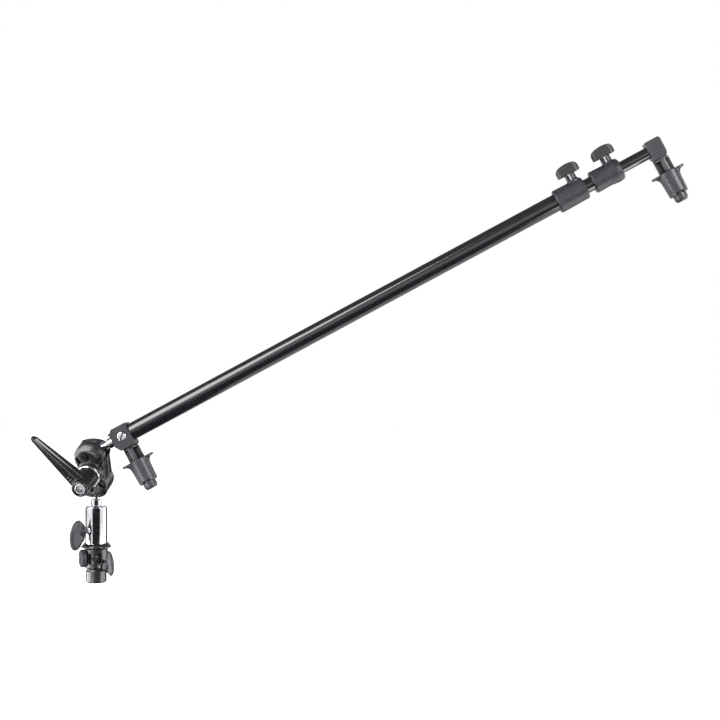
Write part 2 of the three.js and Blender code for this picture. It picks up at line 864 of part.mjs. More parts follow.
// A closed solid through rings of equal point counts.
function loft(rings) {
  const rim = rings[0].length;
  const faces = [];
  for (let ring = 0; ring < rings.length - 1; ring += 1) {
    for (let side = 0; side < rim; side += 1) {
      const next = (side + 1) % rim;
      const a = ring * rim + side;
      const b = ring * rim + next;
      faces.push(a, b, b + rim, a, b + rim, a + rim);
    }
  }
  const last = (rings.length - 1) * rim;
  for (let side = 1; side < rim - 1; side += 1) {
    faces.push(0, side + 1, side, last, last + side, last + side + 1);
  }
  const geometry = new THREE.BufferGeometry();
  geometry.setAttribute('position', new THREE.Float32BufferAttribute(rings.flat(2), 3));
  geometry.setIndex(faces);
  return geometry;
}

function leverHandle() {
  const top = leverBase + barrelLength;
  const base = leverBase + clearance;
  const barrel = turned([
    [0, base], [barrelBaseRadius - barrelEdge, base], [barrelBaseRadius, base + barrelEdge],
    [barrelTipRadius, top - barrelEdge], [barrelTipRadius - barrelEdge, top], [0, top],
  ], fineSides);
  const toothRoom = prism(toothedOutline(leverToothRadius + clearance, leverToothDepth),
    leverToothLength + overrun).translate(0, 0, leverBase + (leverToothLength - overrun) / 2 + clearance);
  const lower = disc(leverToothRadius - leverToothDepth + clearance, leverBase,
    leverBase + ledgeBase, coarseSides);
  const through = disc(insertNeckRadius + clearance, leverBase, top + overrun, coarseSides);
  const upper = disc(barrelLipRadius - clearance, leverBase + ledgeBase + ledgeThickness,
    top + overrun, coarseSides);
  const lip = disc(barrelLipRadius, top - barrelRecess, top + overrun, coarseSides);
  const slots = Array.from({ length: handleSlotCount }, (_, index) => {
    const reach = handleSlotStart + index * handleSlotPitch;
    const front = leverBase + barrelLength - handleSetback;
    return box(handleSlotWidth, handleSlotLength, handleCrest)
      .translate(reach, handleSlotPlace, front - handleSlotDepth);
  });
  return cut(join(barrel, leverBar()), toothRoom, lower, through, upper, lip, ...slots);
}

// Base block, tubes and elbow. X runs along the arm from the upper ball, and Z points off its top.

const blockMiddle = (blockStart + blockEnd) / 2;

function baseBlock() {
  const postEdge = nearClipPlace - postRadius;
  const outline = [
    [postEdge, -blockBottom], [blockEnd, -blockBottom], [blockEnd, blockTop],
    [blockStart + blockTopCut, blockTop], [blockStart, blockNoseTop], [blockStart, -blockNoseBottom],
  ];
  const body = sidePrism(outline, blockDepth, blockEdge);
  const nub = disc(nubRadius, -blockDepth / 2 + blockEdge, blockDepth / 2 - blockEdge, smallSides)
    .rotateX(Math.PI / 2).translate(blockStart + nubRadius / 2, 0, blockNoseTop);
  const tubeHole = alongX(disc(mainRadius + clearance, tubeStart - clearance,
    blockEnd + overrun, fineSides));
  const tailHole = alongX(disc(tailRadius + clearance, blockStart - overrun - nubRadius,
    blockStart + tailLength + clearance, smallSides));
  const tenonHole = disc(tenonRadius + clearance, -blockBottom - overrun,
    -blockBottom + tenonLength + clearance, smallSides).translate(nearClipPlace, 0, 0);
  const head = disc(blockScrewHeadRadius + clearance,
    blockDepth / 2 - blockScrewHeadHeight + blockScrewProud - clearance,
    blockDepth / 2 + overrun, coarseSides);
  const shank = disc(blockScrewRadius + clearance, 0, blockDepth / 2 + overrun, smallSides);
  const screwHole = join(head, shank).rotateX(Math.PI / 2).translate(blockScrewPlace, 0, 0);
  return cut(join(body, nub), tubeHole, tailHole, tenonHole, screwHole);
}

const blockScrewPlace = tubeStart + blockScrewSetback;

function blockScrew() {
  const headTop = blockDepth / 2 + blockScrewProud;
  const shankTip = mainRadius - tubeWall - clearance;
  const screw = turned([
    [0, shankTip - overrun], [blockScrewRadius, shankTip - overrun],
    [blockScrewRadius, headTop - blockScrewHeadHeight],
    [blockScrewHeadRadius, headTop - blockScrewHeadHeight],
    [blockScrewHeadRadius, headTop - blockScrewEdge],
    [blockScrewHeadRadius - blockScrewEdge, headTop], [0, headTop],
  ], coarseSides);
  const slot = box(3 * blockScrewHeadRadius, blockScrewSlotWidth, 2 * blockScrewSlotDepth)
    .rotateZ(radians(blockScrewSlotAngle)).translate(0, 0, headTop);
  return cut(screw, slot).rotateX(Math.PI / 2).translate(blockScrewPlace, 0, 0);
}

function tubePlug() {
  const radius = mainRadius - tubeWall - clearance;
  const plug = alongX(chamferedDisc(radius, tubeStart + clearance, tubeStart + plugLength,
    tubeWall, coarseSides));
  const hole = disc(blockScrewRadius + clearance, radius - clearance - 2 * overrun,
    mainRadius + overrun, smallSides)
    .rotateX(Math.PI / 2).translate(blockScrewPlace, 0, 0);
  return cut(plug, hole);
}

function mainTube() {
  const tube = alongX(pipe(mainRadius, mainRadius - tubeWall, tubeStart, mainEnd, fineSides));
  const hole = disc(blockScrewRadius + clearance, 0, mainRadius + overrun, smallSides)
    .rotateX(Math.PI / 2).translate(blockScrewPlace, 0, 0);
  return cut(tube, hole);
}

// A plastic spool in the inner end of a sliding tube: a plug inside it, and a guide ring beyond it.
function bush(tubeRadius, guideRadius, start) {
  const plugRadius = tubeRadius - tubeWall - clearance;
  const ringEnd = start - clearance;
  return alongX(turned([
    [0, ringEnd - bushLength], [guideRadius - tubeWall, ringEnd - bushLength],
    [guideRadius, ringEnd - bushLength + tubeWall], [guideRadius, ringEnd],
    [plugRadius, ringEnd], [plugRadius, ringEnd + bushPlug], [0, ringEnd + bushPlug],
  ], coarseSides));
}

// Locking collar: a turned body over the end of the larger tube, with a tower for the knob's bolt.
function collar(profile, knobPlace, knobBase, outerTube, outerEnd, innerTube, start, length) {
  const body = alongX(turned(profile, fineSides));
  const tower = disc(towerRadius, 0, knobBase - knobRunningGap, coarseSides).translate(knobPlace, 0, 0);
  const largeBore = alongX(disc(outerTube + clearance, start - overrun, outerEnd + clearance, fineSides));
  const smallBore = alongX(disc(innerTube + clearance, start, start + length + overrun, fineSides));
  const shoeRoom = disc(shoeRadius + clearance, 0,
    innerTube + 2 * clearance + shoeThickness + shoeTravel, smallSides).translate(knobPlace, 0, 0);
  const boltRoom = disc(knobBoltRadius + clearance, 0, knobBase + overrun, smallSides)
    .translate(knobPlace, 0, 0);
  const bodyTop = knobBase - towerRise;
  const opening = box(windowWidth, 3 * towerRadius, towerRise)
    .translate(knobPlace - windowOffset, 0, bodyTop + towerRise / 2);
  return cut(join(body, tower), largeBore, smallBore, shoeRoom, boltRoom, opening);
}

const knobOneBase = collarOneRadius + towerRise + knobRunningGap;
const knobTwoBase = collarTwoWaistRadius + towerRise + knobRunningGap;

function collarOne() {
  const profile = [
    [0, collarOneStart], [collarOneRadius - collarRim, collarOneStart],
    [collarOneRadius, collarOneStart + collarRim], [collarOneEndRadius, collarOneEnd - collarRim],
    [collarOneEndRadius - collarRim, collarOneEnd], [0, collarOneEnd],
  ];
  return collar(profile, knobOnePlace, knobOneBase, mainRadius, mainEnd, middleRadius,
    collarOneStart, collarOneLength);
}

function collarTwo() {
  const waist = (collarTwoStart + collarTwoEnd) / 2;
  const lip = collarTwoEnd - 2 * collarShoulder;
  const profile = [
    [0, collarTwoStart], [collarTwoRadius - collarRim, collarTwoStart],
    [collarTwoRadius, collarTwoStart + collarRim], [collarTwoWaistRadius, waist],
    [collarTwoLipRadius, lip - collarShoulder], [collarTwoLipRadius, lip],
    [collarTwoLipRadius - collarShoulderBend, collarTwoEnd - collarShoulder / 2],
    [collarTwoLipRadius - collarShoulderDrop, collarTwoEnd], [0, collarTwoEnd],
  ];
  return collar(profile, knobTwoPlace, knobTwoBase, middleRadius, middleEnd, endRadius,
    collarTwoStart, collarTwoLength);
}

function shoe(innerTube) {
  const base = innerTube + clearance;
  return chamferedDisc(shoeRadius, base, base + shoeThickness, clearance, smallSides);
}

function knobBolt(innerTube, knobBase) {
  const tip = innerTube + 2 * clearance + shoeThickness;
  return chamferedDisc(knobBoltRadius, tip, knobBase + knobBoltGrip, clearance, smallSides);
}

// Oblong cap: a side view with an arched top, cut to a plan view with round ends.
function knobCap(knobBase) {
  const half = knobLength / 2;
  const rise = knobHeight - knobShoulderHeight;
  const archRadius = (half * half + rise * rise) / (2 * rise);
  const archAngle = THREE.MathUtils.radToDeg(Math.asin((half - knobCornerRadius) / archRadius));
  const side = [
    [-half, 0], [half, 0], [half, knobShoulderHeight - knobCornerRadius],
    ...arc(0, knobHeight - archRadius, archRadius, 90 - archAngle, 90 + archAngle, 8),
    [-half, knobShoulderHeight - knobCornerRadius],
  ];
  const endRadius = knobWidth / 2;
  const plan = [
    ...arc(half - endRadius, 0, endRadius, -90, 90, 8),
    ...arc(endRadius - half, 0, endRadius, 90, 270, 8),
  ];
  const cap = common(sidePrism(side, knobWidth), prism(plan, 2 * (knobHeight + knobEdge), knobEdge)
    .translate(0, 0, knobHeight));
  const bore = disc(knobBoltRadius + clearance, -overrun, knobBoltGrip + clearance, smallSides);
  return cut(cap, bore).translate(0, 0, knobBase);
}

function slidingTube(radius, start, end) {
  return alongX(pipe(radius, radius - tubeWall, start, end, fineSides));
}

function endElbow() {
  const outline = [
    [elbowStart + elbowCut, -elbowBottom], [elbowEnd - elbowCut, -elbowBottom],
    [elbowEnd, -elbowBottom + elbowCutRise], [elbowEnd, elbowTop - elbowCut],
    [elbowEnd - elbowCut, elbowTop], [elbowStart + elbowCut / 2, elbowTop],
    [elbowStart, elbowTop - elbowCut / 2], [elbowStart, -elbowBottom + elbowCutRise],
  ];
  const body = sidePrism(outline, elbowDepth, blockEdge);
  const tubeHole = alongX(disc(endRadius + clearance, elbowStart - overrun,
    endTubeEnd + clearance, coarseSides));
  const tenonHole = disc(tenonRadius + clearance, -elbowBottom - overrun,
    -elbowBottom + tenonLength + clearance, smallSides).translate(farClipPlace, 0, 0);
  return cut(body, tubeHole, tenonHole);
}

// Reflector clip, drawn with +Z along the clip, away from the face that carries it.

const ledgeFace = sleeveStart + sleeveLength - sleeveSkirt;
const headSeat = ledgeFace + clearance;

function clipPost() {
  const ribLength = postShoulder - postFoot - clearance;
  const rib = () => box(2 * postRadius, postRib, ribLength)
    .translate(0, 0, clearance + postFoot + ribLength / 2);
  const barrel = disc(postRadius, clearance, postShoulder, coarseSides);
  const ribs = common(join(rib(), rib().rotateZ(Math.PI / 2)), barrel);
  const foot = turned([
    [0, clearance], [postRadius, clearance], [postRadius, clearance + postFoot],
    [postRib / 2 + postFillet, clearance + postFoot + postFillet], [0, clearance + postFoot + postFillet],
  ], coarseSides);
  const shoulder = disc(postRadius, postShoulder - postFoot, postShoulder, coarseSides);
  const core = disc(coreRadius, postShoulder - postFoot, headSeat + clipHeadReach / 2, smallSides);
  const tenon = disc(tenonRadius, -tenonLength, clearance + postFoot, smallSides);
  return join(ribs, foot, shoulder, core, tenon);
}

function clipSleeve() {
  const end = sleeveStart + sleeveLength;
  const body = turned([
    [0, sleeveStart], [sleeveTopRadius, sleeveStart], [sleeveTopRadius, sleeveStart + wingGusset],
    [sleeveEndRadius, end - clipHeadLip], [sleeveEndRadius - clipHeadLip, end], [0, end],
  ], fineSides);
  const half = wingSpan / 2;
  const tip = wingWidth / 2;
  const wingOutline = [
    ...arc(half - tip, 0, tip, -90, 90, 8),
    ...arc(tip - half, 0, tip, 90, 270, 8),
  ];
  const wings = prism(wingOutline, wingThickness, clearance)
    .translate(0, 0, sleeveStart + wingThickness / 2);
  const gussets = [0, Math.PI].map((turn) => {
    const outer = sleeveTopRadius + wingGusset;
    const outline = [
      [sleeveBore, sleeveStart + wingThickness / 2], [outer, sleeveStart + wingThickness / 2],
      ...arc(outer, sleeveStart + wingThickness + wingGusset, wingGusset, -90, -180, 4),
      [sleeveBore, sleeveStart + wingThickness + wingGusset],
    ];
    return sidePrism(outline, wingGussetThickness).rotateZ(turn);
  });
  const bore = disc(sleeveBore, sleeveStart - overrun, ledgeFace - sleeveLedge, coarseSides);
  const coreHole = disc(coreRadius + clearance, sleeveStart, end + overrun, smallSides);
  const skirtBore = disc(sleeveSkirtBore, ledgeFace, end + overrun, coarseSides);
  const throat = box(throatWidth, 4 * sleeveTopRadius, 2 * sleeveSkirt).translate(0, 0, end);
  return cut(join(body, wings, ...gussets), bore, coreHole, skirtBore, throat);
}

function clipSpring(name) {
  return spring(name, clipCoilRadius, clipCoilTurns, postShoulder + clearance,
    ledgeFace - sleeveLedge - clearance, clipWireRadius);
}

function clipHead() {
  const end = sleeveStart + sleeveLength + clipHeadReach;
  const body = turned([
    [0, headSeat + clipHeadLip], [clipHeadRadius - clipHeadLipWidth, headSeat + clipHeadLip],
    [clipHeadRadius - clipHeadLipWidth, headSeat], [clipHeadRadius, headSeat],
    [clipHeadRadius, end - clipHeadReach / 2],
    ...roundedFall(clipHeadRadius, end - clipHeadReach / 2, clipHeadEndRadius, end, 3),
    [0, end],
  ], coarseSides);
  const boreEnd = headSeat + clipHeadReach / 2 + clearance;
  const bore = disc(coreRadius + clearance, headSeat - overrun, boreEnd, smallSides);
  return cut(body, bore);
}

function reflectorClip(parent, side, place, carrierBottom) {
  const clip = frame(parent, new THREE.Vector3(place, 0, -carrierBottom),
    new THREE.Euler(Math.PI, 0, 0));
  piece(clip, `${side}_clip_post`, clipPost(), 'satinPlastic');
  piece(clip, `${side}_clip_sleeve`, clipSleeve(), 'satinPlastic');
  piece(clip, `${side}_clip_spring`, clipSpring(`${side}_clip_spring`), 'steel');
  piece(clip, `${side}_clip_head`, clipHead(), 'darkPlastic');
}

// Assembly

const arm = new THREE.Group();
const upright = new THREE.Euler();
const origin = new THREE.Vector3();

function handScrewFrame(angle, height) {
  return frame(arm, new THREE.Vector3(0, 0, height), new THREE.Euler(0, 0, radians(angle)));
}

function buildStandAdapter() {
  piece(arm, 'stand_adapter', standAdapter(), 'castBlack');
  piece(arm, 'spigot', spigot(), 'steel');
  const gripEnd = handScrewLength + studRadius;
  const screw = handScrewFrame(adapterScrewAngle, adapterScrewHeight);
  piece(screw, 'adapter_screw', handScrew(handScrewRadius, studBore, handScrewLength), 'chrome');
  const wingStart = handBossReach + 2 * clearance;
  piece(screw, 'adapter_wing', wingHandle(handScrewRadius, wingStart, gripEnd - wingStart + clearance,
    adapterWingUp, adapterWingDown, adapterWingReach, adapterWingThickness), 'satinPlastic');
  const lock = handScrewFrame(lockScrewAngle, lockScrewHeight);
  piece(lock, 'spigot_lock_screw', handScrew(lockScrewRadius, studBore, lockScrewLength), 'steel');
  const knobStart = lockSeat + 2 * clearance;
  piece(lock, 'spigot_lock_knob', lockKnob(knobStart, studBore + lockScrewLength - knobStart),
    'darkPlastic');
}

function buildStudSocket() {
  piece(arm, 'stud_socket', studSocket(), 'chrome');
  const stem = frame(arm, new THREE.Vector3(0, 0, lowerBallHeight), upright);
  piece(stem, 'lower_ball_stem', ballStem(lowerBallHeight - socketTopHeight - clearance), 'chrome');
  const screw = handScrewFrame(socketScrewAngle, socketScrewHeight);
  const start = spigotGrooveRadius + clearance;
  const wingStart = socketRadius + socketWingGap;
  piece(screw, 'socket_screw', handScrew(handScrewRadius, start, handScrewLength), 'chrome');
  piece(screw, 'socket_wing', wingHandle(handScrewRadius, wingStart, start + handScrewLength - wingStart,
    socketWingUp, socketWingDown, socketWingReach, socketWingThickness), 'satinPlastic');
}

// The clamp's own drawing has Z along the bolt, so it is tipped to put the bolt along -Y.
const clampTurn = new THREE.Euler(radians(clampPitch), 0, radians(clampYaw), 'ZXY');

function buildClamp() {
  const clamp = frame(arm, new THREE.Vector3(0, 0, lowerBallHeight), clampTurn);
  const bolt = frame(clamp, new THREE.Vector3(0, 0, halfSpacing), new THREE.Euler(Math.PI / 2, 0, 0));
  piece(bolt, 'front_shell', clampShell(frontShell), 'castBlack');
  piece(bolt, 'back_shell', clampShell(backShell).rotateX(Math.PI), 'castBlack');
  piece(bolt, 'clamp_bolt', clampBolt(), 'steel');
  const seat = clampSpringSeat - clearance;
  piece(bolt, 'clamp_spring',
    spring('clamp_spring', clampCoilRadius, clampCoilTurns, -seat, seat, clampWireRadius), 'steel');
  piece(bolt, 'clamp_washer', clampWasher(), 'chrome');
  const lever = frame(bolt, origin, new THREE.Euler(0, 0, radians(leverAngle)));
  piece(lever, 'lever_insert', leverInsert(), 'steel');
  piece(lever, 'lever_handle', leverHandle(), 'darkPlastic');
  const ledge = leverBase + ledgeBase + ledgeThickness;
  piece(lever, 'lever_spring', spring('lever_spring', leverCoilRadius, leverCoilTurns,
    ledge + clearance, leverScrewHeadBase - clearance, leverWireRadius), 'steel');
  piece(lever, 'lever_screw', leverScrew(), 'steel');
}

const upperBall = new THREE.Vector3(0, 0, ballSpacing).applyEuler(clampTurn)
  .add(new THREE.Vector3(0, 0, lowerBallHeight));
const armTurn = new THREE.Euler(0, radians(-armRise), radians(armSwing), 'ZYX');

function buildArm() {
  const tubes = frame(arm, upperBall, armTurn);
  const stem = frame(tubes, origin, new THREE.Euler(0, -Math.PI / 2, 0));
  piece(stem, 'upper_ball_stem', ballStem(blockStart - clearance), 'chrome');
  piece(tubes, 'base_block', baseBlock(), 'satinPlastic');
  piece(tubes, 'block_screw', blockScrew(), 'chrome');
  piece(tubes, 'tube_plug', tubePlug(), 'nylon');
  piece(tubes, 'main_tube', mainTube(), 'glossBlack');
  piece(tubes, 'collar_1', collarOne(), 'satinPlastic');
  piece(tubes, 'middle_tube', slidingTube(middleRadius, middleStart, middleEnd), 'glossBlack');
  piece(tubes, 'middle_bush', bush(middleRadius, mainRadius - tubeWall - clearance, middleStart),
    'nylon');
  piece(tubes, 'collar_2', collarTwo(), 'satinPlastic');
  piece(tubes, 'end_tube', slidingTube(endRadius, endStart, endTubeEnd), 'glossBlack');
  piece(tubes, 'end_bush', bush(endRadius, middleRadius - tubeWall - clearance, endStart), 'nylon');
  piece(tubes, 'end_elbow', endElbow(), 'satinPlastic');
  buildKnob(tubes, 1, knobOnePlace, middleRadius, knobOneBase);
  buildKnob(tubes, 2, knobTwoPlace, endRadius, knobTwoBase);
  reflectorClip(tubes, 'near', nearClipPlace, blockBottom);
  reflectorClip(tubes, 'far', farClipPlace, elbowBottom);
}

function buildKnob(tubes, number, place, innerTube, knobBase) {
  const knob = frame(tubes, new THREE.Vector3(place, 0, 0), upright);
  piece(knob, `shoe_${number}`, shoe(innerTube), 'nylon');
  piece(knob, `knob_${number}_bolt`, knobBolt(innerTube, knobBase), 'chrome');
  piece(knob, `knob_${number}`, knobCap(knobBase), 'satinPlastic');
}

buildStandAdapter();
buildStudSocket();
buildClamp();
buildArm();

export default arm;
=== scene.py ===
"""Dressed scene of a telescopic reflector holder arm.

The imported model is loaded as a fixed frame. Each sub-assembly is a class that rebuilds its
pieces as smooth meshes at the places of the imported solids, and dresses them. Shapes are drawn
in millimetres in the same local frames as the solids, and baked in metres.
"""

import logging
import math
from dataclasses import dataclass
from enum import Enum
from typing import Iterable, Sequence

import bmesh
import bpy
from mathutils import Euler, Matrix, Vector


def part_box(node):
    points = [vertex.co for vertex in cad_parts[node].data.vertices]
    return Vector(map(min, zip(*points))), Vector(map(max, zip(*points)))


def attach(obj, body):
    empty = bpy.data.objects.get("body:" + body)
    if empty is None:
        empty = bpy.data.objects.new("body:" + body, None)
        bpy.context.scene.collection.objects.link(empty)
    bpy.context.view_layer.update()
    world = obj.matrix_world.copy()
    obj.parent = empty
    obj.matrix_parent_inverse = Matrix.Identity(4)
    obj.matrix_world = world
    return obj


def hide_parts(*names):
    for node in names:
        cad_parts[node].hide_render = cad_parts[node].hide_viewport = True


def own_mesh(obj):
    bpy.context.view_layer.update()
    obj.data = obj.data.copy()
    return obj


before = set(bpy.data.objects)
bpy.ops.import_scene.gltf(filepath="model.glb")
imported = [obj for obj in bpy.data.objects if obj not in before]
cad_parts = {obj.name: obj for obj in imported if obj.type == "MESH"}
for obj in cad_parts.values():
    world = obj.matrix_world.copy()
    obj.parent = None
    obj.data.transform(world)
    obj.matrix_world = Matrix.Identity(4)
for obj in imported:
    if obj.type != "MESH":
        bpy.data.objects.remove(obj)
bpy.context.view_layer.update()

Point = tuple[float, float]
Mesh = bpy.types.Mesh

LOG = logging.getLogger("reflector_arm")
# Metres in a millimetre; then, in millimetres, the room between pieces and a cutter's overrun
MM = 0.001
CLEARANCE = 0.3
OVERRUN = 2.0
# Facets of round forms, by their size
FINE = 112
ROUND = 72
MEDIUM = 48
SMALL = 36
# Values that several sub-assemblies share, in millimetres
TENON_RADIUS = 5.0
TENON_LENGTH = 4.0
PIN_PLACE = 45.75
PIN_BORE = 2.8
NEAR_CLIP = 46.75
FAR_CLIP = 800.25


class Solver(Enum):
    """How one solid changes another."""

    JOIN = "UNION"
    CUT = "DIFFERENCE"
    COMMON = "INTERSECT"


# Meshes, in millimetres


def mesh_of(points: Iterable[Sequence[float]], faces: Iterable[Sequence[int]]) -> Mesh:
    """Make a closed mesh whose faces point outwards.

    Args:
        points: Corner positions.
        faces: Corner numbers of each face.

    Returns:
        The mesh.
    """
    mesh = bpy.data.meshes.new("form")
    mesh.from_pydata([tuple(p) for p in points], [], [tuple(f) for f in faces])
    shape = bmesh.new()
    shape.from_mesh(mesh)
    bmesh.ops.recalc_face_normals(shape, faces=shape.faces)
    shape.to_mesh(mesh)
    shape.free()
    return mesh


def arc(centre: Point, radius: float, start: float, end: float, steps: int) -> list[Point]:
    """Give points of a circular arc.

    Args:
        centre: Middle of the circle.
        radius: Its radius.
        start: First angle in degrees.
        end: Last angle in degrees.
        steps: Number of chords.

    Returns:
        The points, one more than the chords.
    """
    angles = [math.radians(start + (end - start) * step / steps) for step in range(steps + 1)]
    return [(centre[0] + radius * math.cos(a), centre[1] + radius * math.sin(a)) for a in angles]


def rounded(points: Sequence[Point], radius: float, closed: bool = True,
            steps: int = 5) -> list[Point]:
    """Round the corners of an outline or of a revolve's profile.

    Args:
        points: Corners in order.
        radius: Size of the rounding, where the sides next to a corner leave room for it.
        closed: Whether the last corner joins the first.
        steps: Chords of each rounding.

    Returns:
        The corners with roundings in their place.
    """
    straight, room_share = math.radians(12), 0.47
    result: list[Point] = []
    count = len(points)
    for index, corner in enumerate(points):
        if not closed and index in (0, count - 1):
            result.append(corner)
            continue
        here = Vector(corner)
        back = Vector(points[index - 1]) - here
        ahead = Vector(points[(index + 1) % count]) - here
        if min(back.length, ahead.length) == 0 or corner[0] == 0 and not closed:
            result.append(corner)
            continue
        angle = back.angle(ahead)
        if math.pi - angle < straight:
            result.append(corner)
            continue
        run = min(radius / math.tan(angle / 2), room_share * back.length, room_share * ahead.length)
        first = here + back.normalized() * run
        last = here + ahead.normalized() * run
        for step in range(steps + 1):
            share = step / steps
            spot = first * (1 - share) ** 2 + here * 2 * share * (1 - share) + last * share ** 2
            result.append((spot.x, spot.y))
    return result


def turned(profile: Sequence[Point], sides: int = ROUND) -> Mesh:
    """Revolve a profile about Z.

    Args:
        profile: Radius and height of each point. It starts and ends on the axis, or its last
            point repeats its first.
        sides: Facets round the axis.

    Returns:
        A closed mesh.
    """
    ring_shaped = profile[0] == profile[-1]
    corners = list(profile[:-1] if ring_shaped else profile)
    points: list[tuple[float, float, float]] = []
    rings: list[list[int]] = []
    for radius, height in corners:
        start = len(points)
        if radius <= 0:
            points.append((0, 0, height))
            rings.append([start])
            continue
        for side in range(sides):
            angle = 2 * math.pi * side / sides
            points.append((radius * math.cos(angle), radius * math.sin(angle), height))
        rings.append(list(range(start, start + sides)))
    faces: list[tuple[int, ...]] = []
    pairs = list(zip(rings, rings[1:])) + ([(rings[-1], rings[0])] if ring_shaped else [])
    for low, high in pairs:
        for side in range(sides):
            after = (side + 1) % sides
            if len(low) == 1 and len(high) == 1:
                break
            if len(low) == 1:
                faces.append((low[0], high[after], high[side]))
            elif len(high) == 1:
                faces.append((low[side], low[after], high[0]))
            else:
                faces.append((low[side], low[after], high[after], high[side]))
    return mesh_of(points, faces)


def disc(radius: float, low: float, high: float, sides: int = ROUND, edge: float = 0.0) -> Mesh:
    """Make a cylinder about Z, with rounded rims where an edge size is given."""
    profile = [(0, low), (radius, low), (radius, high), (0, high)]
    return turned(rounded(profile, edge, closed=False) if edge else profile, sides)


def ball(radius: float, centre: Sequence[float] = (0, 0, 0), sides: int = FINE) -> Mesh:
    """Make a sphere."""
    profile = [(max(x, 0.0), y) for x, y in arc((0, 0), radius, -90, 90, sides // 2)]
    profile[0], profile[-1] = (0, -radius), (0, radius)
    return moved(turned(profile, sides), Matrix.Translation(centre))


def prism(outline: Sequence[Point], depth: float, edge: float = 0.0, steps: int = 4) -> Mesh:
    """Extrude an outline about the middle of its depth.

    Args:
        outline: Corners in order.
        depth: Size along Z.
        edge: Size of the rounding along both rims, inside the outline.
        steps: Chords of that rounding.

    Returns:
        A closed mesh.
    """
    least_share = 0.3
    corners = [Vector(p) for p in outline]
    area = sum(a.x * b.y - b.x * a.y for a, b in zip(corners, corners[1:] + corners[:1]))
    if area < 0:
        corners.reverse()
    count = len(corners)
    inward: list[Vector] = []
    for index, corner in enumerate(corners):
        before = (corner - corners[index - 1]).normalized()
        after = (corners[(index + 1) % count] - corner).normalized()
        normal = Vector((-before.y - after.y, before.x + after.x))
        normal.normalize()
        share = max(normal.dot(Vector((-before.y, before.x))), least_share)
        inward.append(normal / share)
    levels = [(edge, -depth / 2)]
    if edge:
        turns = [math.pi / 2 * step / steps for step in range(1, steps + 1)]
        levels += [(edge * (1 - math.sin(a)), -depth / 2 + edge * (1 - math.cos(a)))
                   for a in turns]
    levels += [(inset, -height) for inset, height in reversed(levels)]
    points = [(c.x + n.x * inset, c.y + n.y * inset, height)
              for inset, height in levels for c, n in zip(corners, inward)]
    faces: list[tuple[int, ...]] = [tuple(reversed(range(count)))]
    for level in range(len(levels) - 1):
        base = level * count
        faces += [(base + s, base + (s + 1) % count,
                   base + count + (s + 1) % count, base + count + s) for s in range(count)]
    faces.append(tuple(range((len(levels) - 1) * count, len(levels) * count)))
    return mesh_of(points, faces)


def block(width: float, depth: float, height: float) -> Mesh:
    """Make a plain box about the origin, for cutting."""
    return prism([(-width / 2, -depth / 2), (width / 2, -depth / 2),
                  (width / 2, depth / 2), (-width / 2, depth / 2)], height)


def lofted(rings: Sequence[Sequence[Sequence[float]]]) -> Mesh:
    """Skin rings of equal point counts, and close both ends."""
    rim = len(rings[0])
    points = [point for ring in rings for point in ring]
    faces: list[tuple[int, ...]] = [tuple(reversed(range(rim)))]
    for ring in range(len(rings) - 1):
        base = ring * rim
        faces += [(base + s, base + (s + 1) % rim, base + rim + (s + 1) % rim, base + rim + s)
                  for s in range(rim)]
    faces.append(tuple(range((len(rings) - 1) * rim, len(rings) * rim)))
    return mesh_of(points, faces)


def moved(mesh: Mesh, *turns: Matrix) -> Mesh:
    """Apply placements to a mesh, the last one first."""
    place = Matrix.Identity(4)
    for turn in turns:
        place = place @ turn
    mesh.transform(place)
    return mesh


def shift(x: float = 0, y: float = 0, z: float = 0) -> Matrix:
    """Give a translation."""
    return Matrix.Translation((x, y, z))


def spin(axis: str, degrees: float) -> Matrix:
    """Give a rotation about an axis, in degrees."""
    return Matrix.Rotation(math.radians(degrees), 4, axis)


def along_x(mesh: Mesh) -> Mesh:
    """Turn a form drawn about Z so that it runs along X."""
    return moved(mesh, spin("Y", 90))


def upright_side(mesh: Mesh) -> Mesh:
    """Turn an extrusion so that its outline stands in the XZ plane."""
    return moved(mesh, spin("X", 90))


def evaluated(mesh: Mesh, steps: Iterable[tuple[str, dict]], inputs: dict | None = None) -> Mesh:
    """Run modifiers on a mesh and keep their result.

    Args:
        mesh: The mesh, which is used up.
        steps: Kind and settings of each modifier.
        inputs: Values for a node group's named inputs.

    Returns:
        A new mesh.
    """
    holder = bpy.data.objects.new("bench", mesh)
    bpy.context.scene.collection.objects.link(holder)
    for kind, settings in steps:
        modifier = holder.modifiers.new(kind, kind)
        for name, value in settings.items():
            setattr(modifier, name, value)
        if kind == "NODES":
            for item in modifier.node_group.interface.items_tree:
                if item.name in (inputs or {}):
                    modifier[item.identifier] = inputs[item.name]
    graph = bpy.context.evaluated_depsgraph_get()
    result = bpy.data.meshes.new_from_object(holder.evaluated_get(graph))
    bpy.data.objects.remove(holder)
    bpy.data.meshes.remove(mesh)
    return result


def combined(solver: Solver, first: Mesh, others: Sequence[Mesh]) -> Mesh:
    """Join, cut or intersect a mesh with others, which are used up."""
    tools = [bpy.data.objects.new("tool", mesh) for mesh in others]
    steps = [("BOOLEAN", {"operation": solver.value, "solver": "MANIFOLD", "object": tool})
             for tool in tools]
    result = evaluated(first, steps)
    for tool in tools:
        mesh = tool.data
        bpy.data.objects.remove(tool)
        bpy.data.meshes.remove(mesh)
    return result


def join(first: Mesh, *others: Mesh) -> Mesh:
    """Make one solid of several."""
    return combined(Solver.JOIN, first, others)


def cut(first: Mesh, *others: Mesh) -> Mesh:
    """Take solids out of the first."""
    return combined(Solver.CUT, first, others)


def common(first: Mesh, other: Mesh) -> Mesh:
    """Keep what two solids share."""
    return combined(Solver.COMMON, first, [other])


